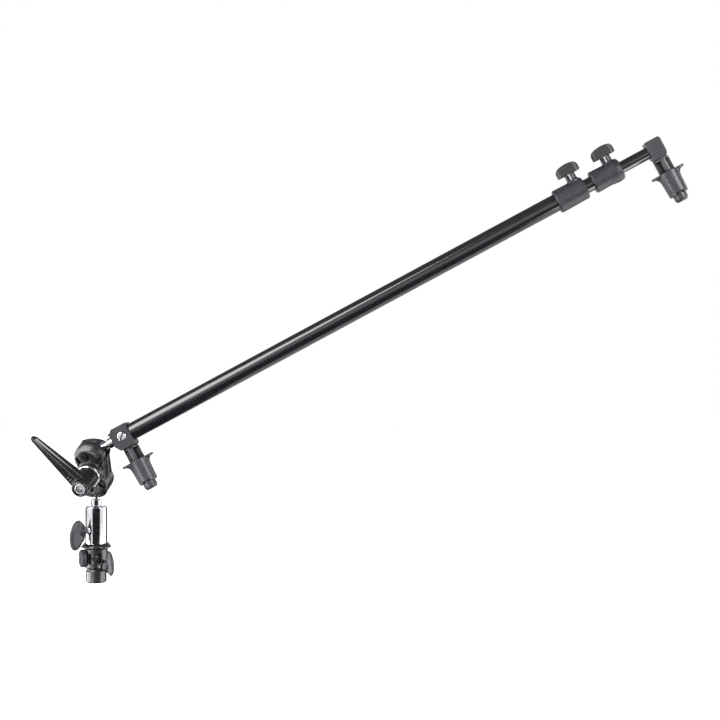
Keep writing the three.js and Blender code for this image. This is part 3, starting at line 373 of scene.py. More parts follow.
def cast(mesh: Mesh, cell: float, passes: int, strength: float = 0.5) -> Mesh:
    """Give a solid the soft edges and fillets of a casting or moulding.

    Args:
        mesh: A closed solid.
        cell: Size of the new faces.
        passes: Smoothing passes, which set the size of the fillets.
        strength: How far each pass moves a point.

    Returns:
        An even mesh with soft edges.
    """
    return evaluated(mesh, [
        ("REMESH", {"mode": "VOXEL", "voxel_size": cell, "use_smooth_shade": True}),
        ("SMOOTH", {"factor": strength, "iterations": passes}),
    ])


# Frames of the assembly, in millimetres

ORIGIN = Matrix.Identity(4)
LOWER_BALL = 129.0
BALL_SPACING = 40.0
CLAMP = shift(z=LOWER_BALL) @ spin("Z", -7.5) @ spin("X", 22)
BOLT = CLAMP @ shift(z=BALL_SPACING / 2) @ spin("X", 90)
LEVER = BOLT @ spin("Z", 129.5)
UPPER_BALL = CLAMP @ Vector((0, 0, BALL_SPACING))
ARM = Matrix.Translation(UPPER_BALL) @ spin("Z", -3.4) @ spin("Y", -28.2)


def hand_screw_frame(angle: float, height: float) -> Matrix:
    """Give the frame of a screw that points at the stand's axis."""
    return shift(z=height) @ spin("Z", angle)


# Finishes


def linear(code: str) -> tuple[float, float, float, float]:
    """Turn an sRGB hex value into a linear colour.

    Args:
        code: Six hex digits, red first.

    Returns:
        Linear red, green, blue and alpha.
    """
    parts = [int(code[index:index + 2], 16) / 255 for index in (0, 2, 4)]
    shades = [p / 12.92 if p <= 0.04045 else ((p + 0.055) / 1.055) ** 2.4 for p in parts]
    return (*shades, 1.0)


def add_node(tree: bpy.types.NodeTree, kind: str, settings: dict | None = None,
             links: dict | None = None, **attributes: object) -> bpy.types.Node:
    """Add one node with its settings and links.

    Args:
        tree: The node tree that gets the node.
        kind: The node's type name.
        settings: Input values by socket name or number.
        links: Output sockets by the name or number of the input that they feed.
        attributes: Properties of the node itself.

    Returns:
        The new node.
    """
    node = tree.nodes.new(kind)
    for name, value in attributes.items():
        setattr(node, name, value)
    for name, value in (settings or {}).items():
        node.inputs[name].default_value = value
    for name, socket in (links or {}).items():
        tree.links.new(socket, node.inputs[name])
    return node


# Ranges of the noises and masks that the finishes read
CLOUD_RANGE = (0.35, 0.65)
GRAIN_RANGE = (0.3, 0.7)
EDGE_RANGE = (0.53, 0.58)
# Occlusion range over which slots, sockets and recesses take painted shade
PAINTED_SHADE_RANGE = (0.6, 0.95)
RUBBED_SHARE = 0.7


@dataclass(frozen=True)
class Finish:
    """A surface: two close shades, a spread of gloss, a fine relief, rubbed edges and painted shade in slots
    and recesses.
    """

    name: str
    shade: str
    other_shade: str
    roughness: float
    spread: float
    metallic: float = 0.0
    coat: float = 0.0
    coat_roughness: float = 0.08
    specular: float = 0.5
    mottle_mm: float = 14.0
    grain_mm: float = 0.7
    relief_mm: float = 0.01
    stretch: tuple[float, float, float] = (1.0, 1.0, 1.0)
    turn: tuple[float, float, float] = (0.0, 0.0, 0.0)
    rubbed_shade: str = ""
    # Painted shade: the colour that enclosed slots, sockets and recesses are darkened to, and how far the
    # occlusion looks
    painted_crevice_shade: str = ""
    crevice_mm: float = 2.5

    def build(self) -> bpy.types.Material:
        """Return the material, which is made on its first use."""
        made = bpy.data.materials.get(self.name)
        if made is not None:
            return made
        material = bpy.data.materials.new(self.name)
        material.use_nodes = True
        tree = material.node_tree
        tree.nodes.clear()
        shader = add_node(tree, "ShaderNodeBsdfPrincipled", {
            "Metallic": self.metallic, "Coat Weight": self.coat,
            "Coat Roughness": self.coat_roughness, "Specular IOR Level": self.specular,
        })
        place = add_node(tree, "ShaderNodeTexCoord").outputs["Object"]
        lined = add_node(tree, "ShaderNodeMapping",
                         {"Rotation": self.turn, "Scale": self.stretch}, {"Vector": place})
        cloud = add_node(tree, "ShaderNodeTexNoise",
                         {"Scale": 1 / (self.mottle_mm * MM), "Detail": 4.0, "Roughness": 0.55},
                         {"Vector": place})
        grain = add_node(tree, "ShaderNodeTexNoise",
                         {"Scale": 1 / (self.grain_mm * MM), "Detail": 3.0, "Roughness": 0.6},
                         {"Vector": lined.outputs["Vector"]})
        blotch = add_node(tree, "ShaderNodeMapRange",
                          {"From Min": CLOUD_RANGE[0], "From Max": CLOUD_RANGE[1]},
                          {"Value": cloud.outputs["Fac"]})
        mix = add_node(tree, "ShaderNodeMix", {6: linear(self.shade), 7: linear(self.other_shade)},
                       {"Factor": blotch.outputs["Result"]}, data_type="RGBA")
        colour = mix.outputs[2]
        if self.rubbed_shade:
            colour = self._rubbed(tree, colour, grain.outputs["Fac"])
        # Painted shade darkens slots, sockets and recesses
        if self.painted_crevice_shade:
            colour = self._shade_crevices(tree, colour)
        gloss = add_node(tree, "ShaderNodeMapRange", {
            "From Min": GRAIN_RANGE[0], "From Max": GRAIN_RANGE[1],
            "To Min": self.roughness - self.spread, "To Max": self.roughness + self.spread,
        }, {"Value": grain.outputs["Fac"]})
        bump = add_node(tree, "ShaderNodeBump", {"Distance": self.relief_mm * MM},
                        {"Height": grain.outputs["Fac"]})
        tree.links.new(colour, shader.inputs["Base Color"])
        tree.links.new(gloss.outputs["Result"], shader.inputs["Roughness"])
        tree.links.new(bump.outputs["Normal"], shader.inputs["Normal"])
        add_node(tree, "ShaderNodeOutputMaterial", links={"Surface": shader.outputs["BSDF"]})
        return material

    def _rubbed(self, tree: bpy.types.NodeTree, colour: bpy.types.NodeSocket,
                grain: bpy.types.NodeSocket) -> bpy.types.NodeSocket:
        """Lighten the raised edges, where hands and clamps rub the surface."""
        edge = add_node(tree, "ShaderNodeNewGeometry").outputs["Pointiness"]
        mask = add_node(tree, "ShaderNodeMapRange", {
            "From Min": EDGE_RANGE[0], "From Max": EDGE_RANGE[1], "To Max": RUBBED_SHARE}, {"Value": edge})
        broken = add_node(tree, "ShaderNodeMath", None, {0: mask.outputs["Result"], 1: grain},
                          operation="MULTIPLY")
        mix = add_node(tree, "ShaderNodeMix", {7: linear(self.rubbed_shade)},
                       {"Factor": broken.outputs["Value"], 6: colour}, data_type="RGBA")
        return mix.outputs[2]

    def _shade_crevices(self, tree: bpy.types.NodeTree, colour: bpy.types.NodeSocket) -> bpy.types.NodeSocket:
        """Paint shade into slots, sockets and recesses: darken the colour where ambient occlusion finds them
        enclosed.
        """
        occlusion_node = add_node(tree, "ShaderNodeAmbientOcclusion", {"Distance": self.crevice_mm * MM})
        mask = add_node(tree, "ShaderNodeMapRange",
                        {"From Min": PAINTED_SHADE_RANGE[0], "From Max": PAINTED_SHADE_RANGE[1]},
                        {"Value": occlusion_node.outputs["AO"]})
        mix = add_node(tree, "ShaderNodeMix", {6: linear(self.painted_crevice_shade)},
                       {"Factor": mask.outputs["Result"], 7: colour}, data_type="RGBA")
        return mix.outputs[2]


ARM_LINES = tuple(ARM.to_3x3().inverted().to_euler())

# Die-cast aluminium under stoved black enamel: deep, softly glossy, with slight orange peel.
STOVED_CASTING = Finish("stoved_black_enamel", "131316", "1A1A1E", 0.32, 0.05, coat=0.6,
                        coat_roughness=0.22, grain_mm=1.6, relief_mm=0.014, rubbed_shade="4A4A50")
# The same enamel on the foot, polished by stands and hands: glossier, and worn lighter at its edges.
RUBBED_CASTING = Finish("rubbed_black_enamel", "121214", "1B1B1E", 0.25, 0.06, coat=0.4,
                        coat_roughness=0.14, grain_mm=1.1, relief_mm=0.02, rubbed_shade="5A5A60")
# Drawn aluminium tube, dyed black and sealed: glossy, with faint draw lines along its length.
DYED_TUBE = Finish("black_anodised_tube", "0F0E12", "141318", 0.16, 0.04, specular=1.0,
                   grain_mm=0.35, relief_mm=0.003, stretch=(0.02, 1.0, 1.0), turn=ARM_LINES)
# Glass-filled nylon, spark-eroded mould: dark grey with an even fine grain and a satin gloss.
GRAINED_NYLON = Finish("grained_nylon", "26252A", "2D2C32", 0.4, 0.05, grain_mm=0.55,
                       relief_mm=0.015)
# The same nylon from a coarser mould, for the block and the T-knobs: a darker copy whose colour is painted
# shade, with a rough grain.
COARSE_NYLON = Finish("coarse_nylon", "1D1C20", "27262B", 0.46, 0.06, grain_mm=0.9, relief_mm=0.025)
# The same nylon from a smoother mould, for the elbow, the round knob, and the clips' sleeves and heads: a
# lighter copy whose colour is painted light.
SMOOTH_NYLON = Finish("smooth_nylon", "2C2B30", "333237", 0.36, 0.05, grain_mm=0.8, relief_mm=0.008)
# The same nylon on the clips' posts, in a lighter copy whose colour is painted light, with painted shade
# darkening its deep recesses.
RIBBED_NYLON = Finish("ribbed_nylon", "38373C", "3F3E43", 0.38, 0.05, grain_mm=0.8, relief_mm=0.01,
                      painted_crevice_shade="08080A", crevice_mm=9)
# The lever's nylon from a polished mould: near black, so that only its crest and edges catch light.
POLISHED_NYLON = Finish("polished_nylon", "111013", "18171A", 0.26, 0.05, coat=0.2,
                        coat_roughness=0.15, grain_mm=1.0, relief_mm=0.01)
# Bright nickel-chromium plate over turned steel, with faint smears.
BRIGHT_CHROME = Finish("bright_chrome_plate", "E4E5E8", "D9DADE", 0.07, 0.025, metallic=1.0,
                       mottle_mm=9, grain_mm=6, relief_mm=0.002)
# The same plate on slotted screws, with painted shade darkening the slots.
SLOTTED_CHROME = Finish("slotted_chrome_plate", "E4E5E8", "D9DADE", 0.1, 0.03, metallic=1.0,
                        mottle_mm=9, grain_mm=6, relief_mm=0.002, painted_crevice_shade="0B0B0C")
# Zinc-plated turned steel: grey, with fine tool marks.
ZINC_STEEL = Finish("zinc_plated_steel", "A9ABB0", "96989D", 0.3, 0.06, metallic=1.0,
                    mottle_mm=4, grain_mm=0.4, relief_mm=0.008)
# The same zinc, a little lighter, on the cap screw, with painted shade darkening its socket.
SHADED_SOCKET_ZINC = Finish("zinc_steel_shaded_socket", "B9BBBF", "A6A8AD", 0.3, 0.06, metallic=1.0,
                     mottle_mm=4, grain_mm=0.4, relief_mm=0.008, painted_crevice_shade="050506", crevice_mm=6)
# Patented spring wire, oiled: darker steel.
SPRING_WIRE = Finish("spring_wire", "8C8E93", "75777C", 0.28, 0.06, metallic=1.0, mottle_mm=3,
                     grain_mm=0.3, relief_mm=0.004)
# Black acetal for sliding bushes and brake shoes: waxy, nearly matt.
BLACK_ACETAL = Finish("black_acetal", "161618", "1D1D20", 0.5, 0.06, grain_mm=0.9, relief_mm=0.01)


# Node recipes for what repeats or follows a path


def open_tree(name: str, inputs: Sequence[tuple[str, str, float | int | Vector]],
              takes_shape: bool = False) -> tuple[bpy.types.NodeTree, bpy.types.Node]:
    """Start a geometry node tree with named inputs.

    Args:
        name: Name of the tree.
        inputs: Name, socket type and default of each input.
        takes_shape: Whether the tree reads the object's own mesh.

    Returns:
        The tree and its input node.
    """
    tree = bpy.data.node_groups.new(name, "GeometryNodeTree")
    if takes_shape:
        tree.interface.new_socket("Shape", in_out="INPUT", socket_type="NodeSocketGeometry")
    for label, kind, default in inputs:
        socket = tree.interface.new_socket(label, in_out="INPUT", socket_type=kind)
        socket.default_value = default
    tree.interface.new_socket("Finish", in_out="INPUT", socket_type="NodeSocketMaterial")
    tree.interface.new_socket("Result", in_out="OUTPUT", socket_type="NodeSocketGeometry")
    return tree, tree.nodes.new("NodeGroupInput")


def close_tree(tree: bpy.types.NodeTree, given: bpy.types.Node, shape: bpy.types.NodeSocket) -> None:
    """End a tree in Realize Instances and Set Material."""
    real = add_node(tree, "GeometryNodeRealizeInstances", links={"Geometry": shape})
    dressed = add_node(tree, "GeometryNodeSetMaterial", links={
        "Geometry": real.outputs["Geometry"], "Material": given.outputs["Finish"]})
    add_node(tree, "NodeGroupOutput", links={"Result": dressed.outputs["Geometry"]})


def coil_tree() -> bpy.types.NodeTree:
    """Give the recipe of a compression spring about Z."""
    made = bpy.data.node_groups.get("coil_spring")
    if made is not None:
        return made
    tree, given = open_tree("coil_spring", [
        ("Radius", "NodeSocketFloat", 5.0), ("Turns", "NodeSocketFloat", 4.0),
        ("Low", "NodeSocketFloat", 0.0), ("High", "NodeSocketFloat", 10.0),
        ("Wire", "NodeSocketFloat", 0.5)])
    height = add_node(tree, "ShaderNodeMath", links={0: given.outputs["High"], 1: given.outputs["Low"]},
                      operation="SUBTRACT")
    spiral = add_node(tree, "GeometryNodeCurveSpiral", {"Resolution": 40}, {
        "Rotations": given.outputs["Turns"], "Start Radius": given.outputs["Radius"],
        "End Radius": given.outputs["Radius"], "Height": height.outputs["Value"]})
    section = add_node(tree, "GeometryNodeCurvePrimitiveCircle", {"Resolution": 14},
                       {"Radius": given.outputs["Wire"]})
    wire = add_node(tree, "GeometryNodeCurveToMesh", {"Fill Caps": True}, {
        "Curve": spiral.outputs["Curve"], "Profile Curve": section.outputs["Curve"]})
    lift = add_node(tree, "ShaderNodeCombineXYZ", links={"Z": given.outputs["Low"]})
    placed = add_node(tree, "GeometryNodeTransform", links={
        "Geometry": wire.outputs["Mesh"], "Translation": lift.outputs["Vector"]})
    close_tree(tree, given, placed.outputs["Geometry"])
    return tree


def pipe_tree() -> bpy.types.NodeTree:
    """Give the recipe of a tube about Z: a wall section with rounded rims, swept round a circle."""
    made = bpy.data.node_groups.get("drawn_tube")
    if made is not None:
        return made
    tree, given = open_tree("drawn_tube", [
        ("Outer", "NodeSocketFloat", 10.0), ("Wall", "NodeSocketFloat", 1.0),
        ("Low", "NodeSocketFloat", 0.0), ("High", "NodeSocketFloat", 100.0),
        ("Rim", "NodeSocketFloat", 0.25)])
    length = add_node(tree, "ShaderNodeMath", links={0: given.outputs["High"], 1: given.outputs["Low"]},
                      operation="SUBTRACT")
    both = add_node(tree, "ShaderNodeMath", links={0: given.outputs["High"], 1: given.outputs["Low"]},
                    operation="ADD")
    middle = add_node(tree, "ShaderNodeMath", {1: 0.5}, {0: both.outputs["Value"]}, operation="MULTIPLY")
    half = add_node(tree, "ShaderNodeMath", {1: 0.5}, {0: given.outputs["Wall"]}, operation="MULTIPLY")
    radius = add_node(tree, "ShaderNodeMath", links={0: given.outputs["Outer"], 1: half.outputs["Value"]},
                      operation="SUBTRACT")
    ring = add_node(tree, "GeometryNodeCurvePrimitiveCircle", {"Resolution": FINE},
                    {"Radius": radius.outputs["Value"]})
    section = add_node(tree, "GeometryNodeCurvePrimitiveQuadrilateral", None, {
        "Width": given.outputs["Wall"], "Height": length.outputs["Value"]})
    eased = add_node(tree, "GeometryNodeFilletCurve", {"Count": 4}, {
        "Curve": section.outputs["Curve"], "Radius": given.outputs["Rim"]}, mode="POLY")
    wall = add_node(tree, "GeometryNodeCurveToMesh", links={
        "Curve": ring.outputs["Curve"], "Profile Curve": eased.outputs["Curve"]})
    lift = add_node(tree, "ShaderNodeCombineXYZ", links={"Z": middle.outputs["Value"]})
    placed = add_node(tree, "GeometryNodeTransform", links={
        "Geometry": wall.outputs["Mesh"], "Translation": lift.outputs["Vector"]})
    close_tree(tree, given, placed.outputs["Geometry"])
    return tree


def ring_tree() -> bpy.types.NodeTree:
    """Give the recipe that repeats the object's own mesh about Z."""
    made = bpy.data.node_groups.get("ring_of_shapes")
    if made is not None:
        return made
    tree, given = open_tree("ring_of_shapes", [("Count", "NodeSocketInt", 12)], takes_shape=True)
    seats = add_node(tree, "GeometryNodeMeshLine", links={"Count": given.outputs["Count"]})
    seats.inputs["Offset"].default_value = (0, 0, 0)
    number = add_node(tree, "GeometryNodeInputIndex")
    step = add_node(tree, "ShaderNodeMath", {0: 2 * math.pi}, {1: given.outputs["Count"]}, operation="DIVIDE")
    angle = add_node(tree, "ShaderNodeMath", links={0: number.outputs["Index"], 1: step.outputs["Value"]},
                     operation="MULTIPLY")
    turn = add_node(tree, "ShaderNodeCombineXYZ", links={"Z": angle.outputs["Value"]})
    around = add_node(tree, "GeometryNodeInstanceOnPoints", links={
        "Points": seats.outputs["Mesh"], "Instance": given.outputs["Shape"],
        "Rotation": turn.outputs["Vector"]})
    close_tree(tree, given, around.outputs["Instances"])
    return tree


def row_tree() -> bpy.types.NodeTree:
    """Give the recipe that repeats the object's own mesh along X."""
    made = bpy.data.node_groups.get("row_of_shapes")
    if made is not None:
        return made
    tree, given = open_tree("row_of_shapes", [
        ("Count", "NodeSocketInt", 3), ("Pitch", "NodeSocketFloat", 4.0)], takes_shape=True)
    run = add_node(tree, "ShaderNodeCombineXYZ", links={"X": given.outputs["Pitch"]})
    seats = add_node(tree, "GeometryNodeMeshLine", links={
        "Count": given.outputs["Count"], "Offset": run.outputs["Vector"]})
    along = add_node(tree, "GeometryNodeInstanceOnPoints", links={
        "Points": seats.outputs["Mesh"], "Instance": given.outputs["Shape"]})
    close_tree(tree, given, along.outputs["Instances"])
    return tree


def grown(tree: bpy.types.NodeTree, finish: Finish, mesh: Mesh | None = None,
          **inputs: float | int) -> Mesh:
    """Run a recipe and keep its mesh.

    Args:
        tree: The node tree.
        finish: The material that the tree sets.
        mesh: The mesh that the tree repeats, if it repeats one.
        inputs: Values of the named inputs.

    Returns:
        The mesh.
    """
    base = mesh or bpy.data.meshes.new("seed")
    return evaluated(base, [("NODES", {"node_group": tree})], {**inputs, "Finish": finish.build()})


# Dressing


def dress(name: str, body: str, node: str, finish: Finish, mesh: Mesh, place: Matrix,
          crease: float = 38.0) -> bpy.types.Object:
    """Bake a mesh at its place and put it in its node's stead.

    Args:
        name: Name of the new piece.
        body: Body that it rides on.
        node: Node that it replaces.
        finish: Surface of the piece.
        mesh: Its shape, in millimetres, in its local frame.
        place: That frame.
        crease: Angle in degrees past which an edge stays sharp.

    Returns:
        The piece.
    """
    mesh.transform(Matrix.Diagonal((MM, MM, MM, 1)) @ place)
    mesh.materials.clear()
    mesh.materials.append(finish.build())
    mesh.polygons.foreach_set("material_index", [0] * len(mesh.polygons))
    mesh.polygons.foreach_set("use_smooth", [True] * len(mesh.polygons))
    mesh.set_sharp_from_angle(angle=math.radians(crease))
    mesh.name = name
    mesh.update()
    piece = bpy.data.objects.new(name, mesh)
    bpy.context.scene.collection.objects.link(piece)
    weigh = piece.modifiers.new("even_normals", "WEIGHTED_NORMAL")
    weigh.keep_sharp = True
    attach(piece, body)
    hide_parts(node)
    low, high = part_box(node)
    corners = [Vector(point.co) for point in mesh.vertices]
    own_low = [min(c[axis] for c in corners) for axis in range(3)]
    own_high = [max(c[axis] for c in corners) for axis in range(3)]
    off = max(max(abs(own_low[axis] - low[axis]), abs(own_high[axis] - high[axis]))
              for axis in range(3))
    LOG.info("%s: %d faces, %.2f mm from the box of %s", name, len(mesh.polygons), off / MM, node)
    return piece


def squeeze(spring: bpy.types.Object) -> None:
    """Give a spring its own copy of its mesh.

    Args:
        spring: The spring, from its seat to the ledge.
    """
    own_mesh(spring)


def carry_over(node: str, finish: Finish) -> None:
    """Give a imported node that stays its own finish."""
    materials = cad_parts[node].data.materials
    materials.clear()
    materials.append(finish.build())
    LOG.info("%s: kept from the packed model", node)


# Shapes that several sub-assemblies share


def quarter(outer: float, low: float, inner: float, high: float, steps: int) -> list[Point]:
    """Give a quarter of an ellipse from an outer edge in and up to a flat crown."""
    angles = [math.pi / 2 * (step + 1) / steps for step in range(steps)]
    return [(inner + (outer - inner) * math.cos(a), low + (high - low) * math.sin(a)) for a in angles]


@dataclass(frozen=True)
class ScrewSize:
    """Sizes of a hand screw: radius, length, distance from crest to crest, and threaded length."""

    radius: float
    length: float
    pitch: float
    threaded: float


M8_SCREW = ScrewSize(4.0, 17.0, 1.25, 14.0)
M6_SCREW = ScrewSize(3.0, 10.0, 1.0, 8.0)


def threaded_screw(size: ScrewSize, start: float) -> Mesh:
    """Make a screw along X with a turned thread, its tip at the start."""
    tip, ease = 1.2, 0.1
    rise_share, root_share, fall_share = 0.12, 0.5, 0.88
    radius, pitch = size.radius, size.pitch
    profile: list[Point] = [(0, start), (radius - tip, start), (radius - ease, start + tip)]
    place = start + tip
    while place + pitch < start + size.threaded:
        profile += [(radius, place + rise_share * pitch),
                    (radius - root_share * pitch, place + root_share * pitch),
                    (radius, place + fall_share * pitch)]
        place += pitch
    profile += [(radius, start + size.length), (0, start + size.length)]
    return along_x(turned(profile, MEDIUM))


def paddle(reach: float, half_height: float, thickness: float) -> Mesh:
    """Make a lens-shaped plate in the XZ plane, with a soft rim and a ridge down its middle."""
    around, across = 64, 28
    flatness, swell = 0.62, 0.9
    ridge_shares = (0.13, 0.56, 0.86)
    rings: list[list[tuple[float, float, float]]] = []
    for level in range(1, across):
        rise = math.pi * (level / across - 0.5)
        spread = math.cos(rise) ** flatness
        height = math.copysign(abs(math.sin(rise)) ** swell, math.sin(rise)) * thickness / 2
        ring = []
        for side in range(around):
            angle = 2 * math.pi * side / around
            ring.append((spread * math.cos(angle) * reach / 2, height,
                         spread * math.sin(angle) * half_height))
        rings.append(ring)
    plate = lofted(rings)
    wide, deep, tall = ridge_shares
    ridge = moved(ball(1, sides=MEDIUM),
                  Matrix.Diagonal((reach * wide, thickness * deep, half_height * tall, 1)))
    return join(plate, ridge)


@dataclass
class WingHandle:
    """Moulded wing on a screw, drawn along X from the axis that the screw points at."""

    hub_start: float
    bore_depth: float
    up: float
    down: float
    reach: float
    thickness: float
    screw_radius: float = 4.0
    tilt: float = 10.0
    hub_radius: float = 5.2
    root_radius: float = 9.5
    hub_length: float = 6.0
    hub_edge: float = 1.6
    hub_rounding: float = 1.0
    root_bevel: float = 1.5
    root_drop: float = 1.0
    neck_inset: float = 3.6
    web_setback: float = 0.5
    web_lift_share: float = 0.4
    web_shares: tuple[float, float, float] = (0.85, 0.46, 0.33)
    web_sides: int = 56
    cell: float = 0.42
    passes: int = 7

    def shape(self) -> Mesh:
        """Return the wing with its hub and web, bored for its screw."""
        middle = (self.up - self.down) / 2
        wide, deep, tall = self.web_shares
        place = self.hub_start + self.hub_length + self.reach / 2 - self.hub_length / 2
        plate = moved(paddle(self.reach, (self.up + self.down) / 2, self.thickness),
                      shift(place, 0, middle), spin("Y", -self.tilt))
        root = self.hub_start + self.hub_length
        hub = along_x(turned(rounded([
            (0, self.hub_start), (self.hub_radius, self.hub_start),
            (self.root_radius - self.root_bevel, root - self.root_drop),
            (self.root_radius - self.neck_inset, root + self.hub_edge + self.hub_edge),
            (0, root + self.reach / 2)], self.hub_rounding, closed=False)))
        web = moved(ball(1, sides=self.web_sides),
                    shift(root - self.web_setback, 0, middle * self.web_lift_share),
                    Matrix.Diagonal((self.hub_length * wide, self.thickness * deep,
                                     (self.up + self.down) * tall, 1)))
        soft = cast(join(plate, hub, web), self.cell, self.passes)
        bore = along_x(disc(self.screw_radius + CLEARANCE, self.hub_start - OVERRUN,
                            self.hub_start + self.bore_depth + CLEARANCE, SMALL))
        return cut(soft, bore)


# Foot of the assembly


@dataclass
class StandAdapter:
    """Cast foot with its spigot, its wing screw and the round knob that locks the spigot."""

    height: float = 47.9
    neck_radius: float = 13.0
    neck_height: float = 16.0
    groove_radius: float = 12.2
    groove_width: float = 1.5
    body_radius: float = 14.8
    body_base: float = 19.5
    bore_radius: float = 8.2
    flange_radius: float = 19.0
    flange_base: float = 43.0
    flange_rise: float = 1.5
    ear_rise: float = 2.6
    ear_half_angle: float = 34.0
    ear_top_radius: float = 15.45
    room_radius: float = 14.05
    pocket_depth: float = 4.0
    pocket_height: float = 13.0
    pocket_width: float = 5.0
    pocket_floor_width: float = 2.5
    pocket_angle: float = 24.0
    face_angle: float = -88.0
    face_radius: float = 4.2
    boss_radius: float = 7.0
    boss_reach: float = 18.0
    screw_height: float = 22.3
    screw_angle: float = -43.0
    lock_height: float = 31.2
    lock_angle: float = -155.0
    lock_seat: float = 13.9
    knob_radius: float = 11.2
    knob_thickness: float = 6.0
    knob_ribs: int = 24
    spigot_radius: float = 7.9
    spigot_base: float = 27.8
    spigot_top: float = 84.7
    spigot_groove: float = 6.6
    spigot_waist: tuple[float, float] = (60.0, 74.0)
    spigot_rounding: float = 0.3
    edge: float = 1.2
    boss_edge: float = 0.8
    knob_dish: float = 0.7
    knob_rounding: float = 0.8
    knob_dish_shares: tuple[float, float] = (0.72, 0.62)
    rib_radius: float = 0.9
    rib_core_share: float = 0.7
    rib_inset: float = 0.6
    rib_edge: float = 0.5
    rib_sides: int = 20
    cell: float = 0.4
    passes: int = 5

    def casting(self) -> Mesh:
        """Return the cast body with its ears, boss, pockets and holes."""
        edge = self.edge
        body = turned([
            (0, 0), (self.neck_radius - edge, 0), (self.neck_radius, edge),
            (self.neck_radius, self.neck_height - edge), (self.groove_radius, self.neck_height),
            (self.groove_radius, self.neck_height + self.groove_width),
            (self.body_radius, self.body_base), (self.body_radius, self.flange_base),
            (self.flange_radius, self.flange_base + self.flange_rise),
            (self.flange_radius, self.flange_base + 2 * self.flange_rise),
            (self.flange_radius - edge, self.height), (0, self.height)], FINE)
        ear_base, ear_top = self.flange_base + self.flange_rise, self.height + self.ear_rise
        ear_ring = turned([
            (0, ear_base), (self.flange_radius, ear_base),
            (self.flange_radius, ear_base + self.flange_rise), (self.ear_top_radius, ear_top),
            (0, ear_top)], FINE)
        sector = [(0, 0), *arc((0, 0), 2 * self.flange_radius,
                               -self.ear_half_angle, self.ear_half_angle, 6)]
        ears = [common(ear_ring.copy(), moved(prism(sector, 4 * self.height), spin("Z", half)))
                for half in (0, 180)]
        middle = (self.body_base + self.flange_base) / 2
        face = moved(along_x(disc(self.face_radius, 0, self.body_radius + CLEARANCE)),
                     shift(z=middle), spin("Z", self.face_angle))
        screw_place = hand_screw_frame(self.screw_angle, self.screw_height)
        lock_place = hand_screw_frame(self.lock_angle, self.lock_height)
        boss = moved(along_x(disc(self.boss_radius, 0, self.boss_reach, edge=self.boss_edge)),
                     screw_place)
        deep = self.body_radius - self.pocket_depth
        outside = self.body_radius + OVERRUN
        outline = [(deep, -self.pocket_floor_width / 2), (outside, -self.pocket_width / 2),
                   (outside, self.pocket_width / 2), (deep, self.pocket_floor_width / 2)]
        pockets = [moved(prism(outline, self.pocket_height), shift(z=middle),
                         spin("Z", self.face_angle + side * self.pocket_angle)) for side in (-1, 1)]
        flat = moved(along_x(disc(self.knob_radius + CLEARANCE, self.lock_seat,
                                  self.flange_radius + OVERRUN)), lock_place)
        room = disc(self.room_radius, self.height, self.height + 2 * self.ear_rise, FINE)
        soft = cast(cut(join(body, *ears, face, boss), flat, room, *pockets), self.cell, self.passes)
        bore = disc(self.bore_radius, -OVERRUN, self.height + OVERRUN, FINE)
        reach = self.flange_radius + OVERRUN
        holes = [moved(along_x(disc(size.radius + CLEARANCE, 0, reach, SMALL)), place)
                 for size, place in ((M8_SCREW, screw_place), (M6_SCREW, lock_place))]
        return cut(soft, bore, *holes)

    def spigot(self) -> Mesh:
        """Return the turned pin that stands up into the socket, with its waist."""
        low, high = self.spigot_waist
        edge, radius, groove = self.edge, self.spigot_radius, self.spigot_groove
        return turned(rounded([
            (0, self.spigot_base), (radius - edge, self.spigot_base), (radius, self.spigot_base + edge),
            (radius, low), (groove, low + edge), (groove, high - edge), (radius, high),
            (radius, self.spigot_top - edge), (radius - edge, self.spigot_top), (0, self.spigot_top)],
            self.spigot_rounding, closed=False), FINE)

    def lock_knob(self) -> Mesh:
        """Return the round knob with its ring of grip ribs."""
        start = self.lock_seat + 2 * CLEARANCE
        end = start + self.knob_thickness
        core = self.knob_radius - self.rib_radius * self.rib_core_share
        rim_share, floor_share = self.knob_dish_shares
        wheel = along_x(turned(rounded([
            (0, start), (core, start), (core, end), (core * rim_share, end),
            (core * floor_share, end - self.knob_dish), (0, end - self.knob_dish)],
            self.knob_rounding, closed=False), FINE))
        rib = moved(disc(self.rib_radius, start + self.rib_inset, end - self.rib_inset,
                         self.rib_sides, edge=self.rib_edge),
                    shift(self.knob_radius - self.rib_radius, 0, 0))
        ribs = along_x(grown(ring_tree(), SMOOTH_NYLON, rib, Count=self.knob_ribs))
        bore = along_x(disc(M6_SCREW.radius + CLEARANCE, start - OVERRUN,
                            self.bore_radius + M6_SCREW.length + CLEARANCE, SMALL))
        return cut(join(wheel, ribs), bore)

    def build(self) -> None:
        """Make and place every piece of the foot."""
        dress("foot_casting", "adapter", "stand_adapter", RUBBED_CASTING,
              self.casting(), ORIGIN)
        dress("spigot_pin", "adapter", "spigot", ZINC_STEEL, self.spigot(), ORIGIN)
        screw_place = hand_screw_frame(self.screw_angle, self.screw_height)
        dress("stand_screw", "adapter_thread", "adapter_screw", BRIGHT_CHROME,
              threaded_screw(M8_SCREW, self.bore_radius), screw_place)
        wing_start = self.boss_reach + 2 * CLEARANCE
        wing = WingHandle(wing_start, self.bore_radius + M8_SCREW.length - wing_start,
                          up=20, down=11.6, reach=14, thickness=6)
        dress("stand_wing", "adapter_hand", "adapter_wing", GRAINED_NYLON,
              wing.shape(), screw_place)
        lock_place = hand_screw_frame(self.lock_angle, self.lock_height)
        dress("lock_screw", "lock_thread", "spigot_lock_screw", ZINC_STEEL,
              threaded_screw(M6_SCREW, self.bore_radius), lock_place)
        dress("lock_knob", "lock_hand", "spigot_lock_knob", SMOOTH_NYLON,
              self.lock_knob(), lock_place)


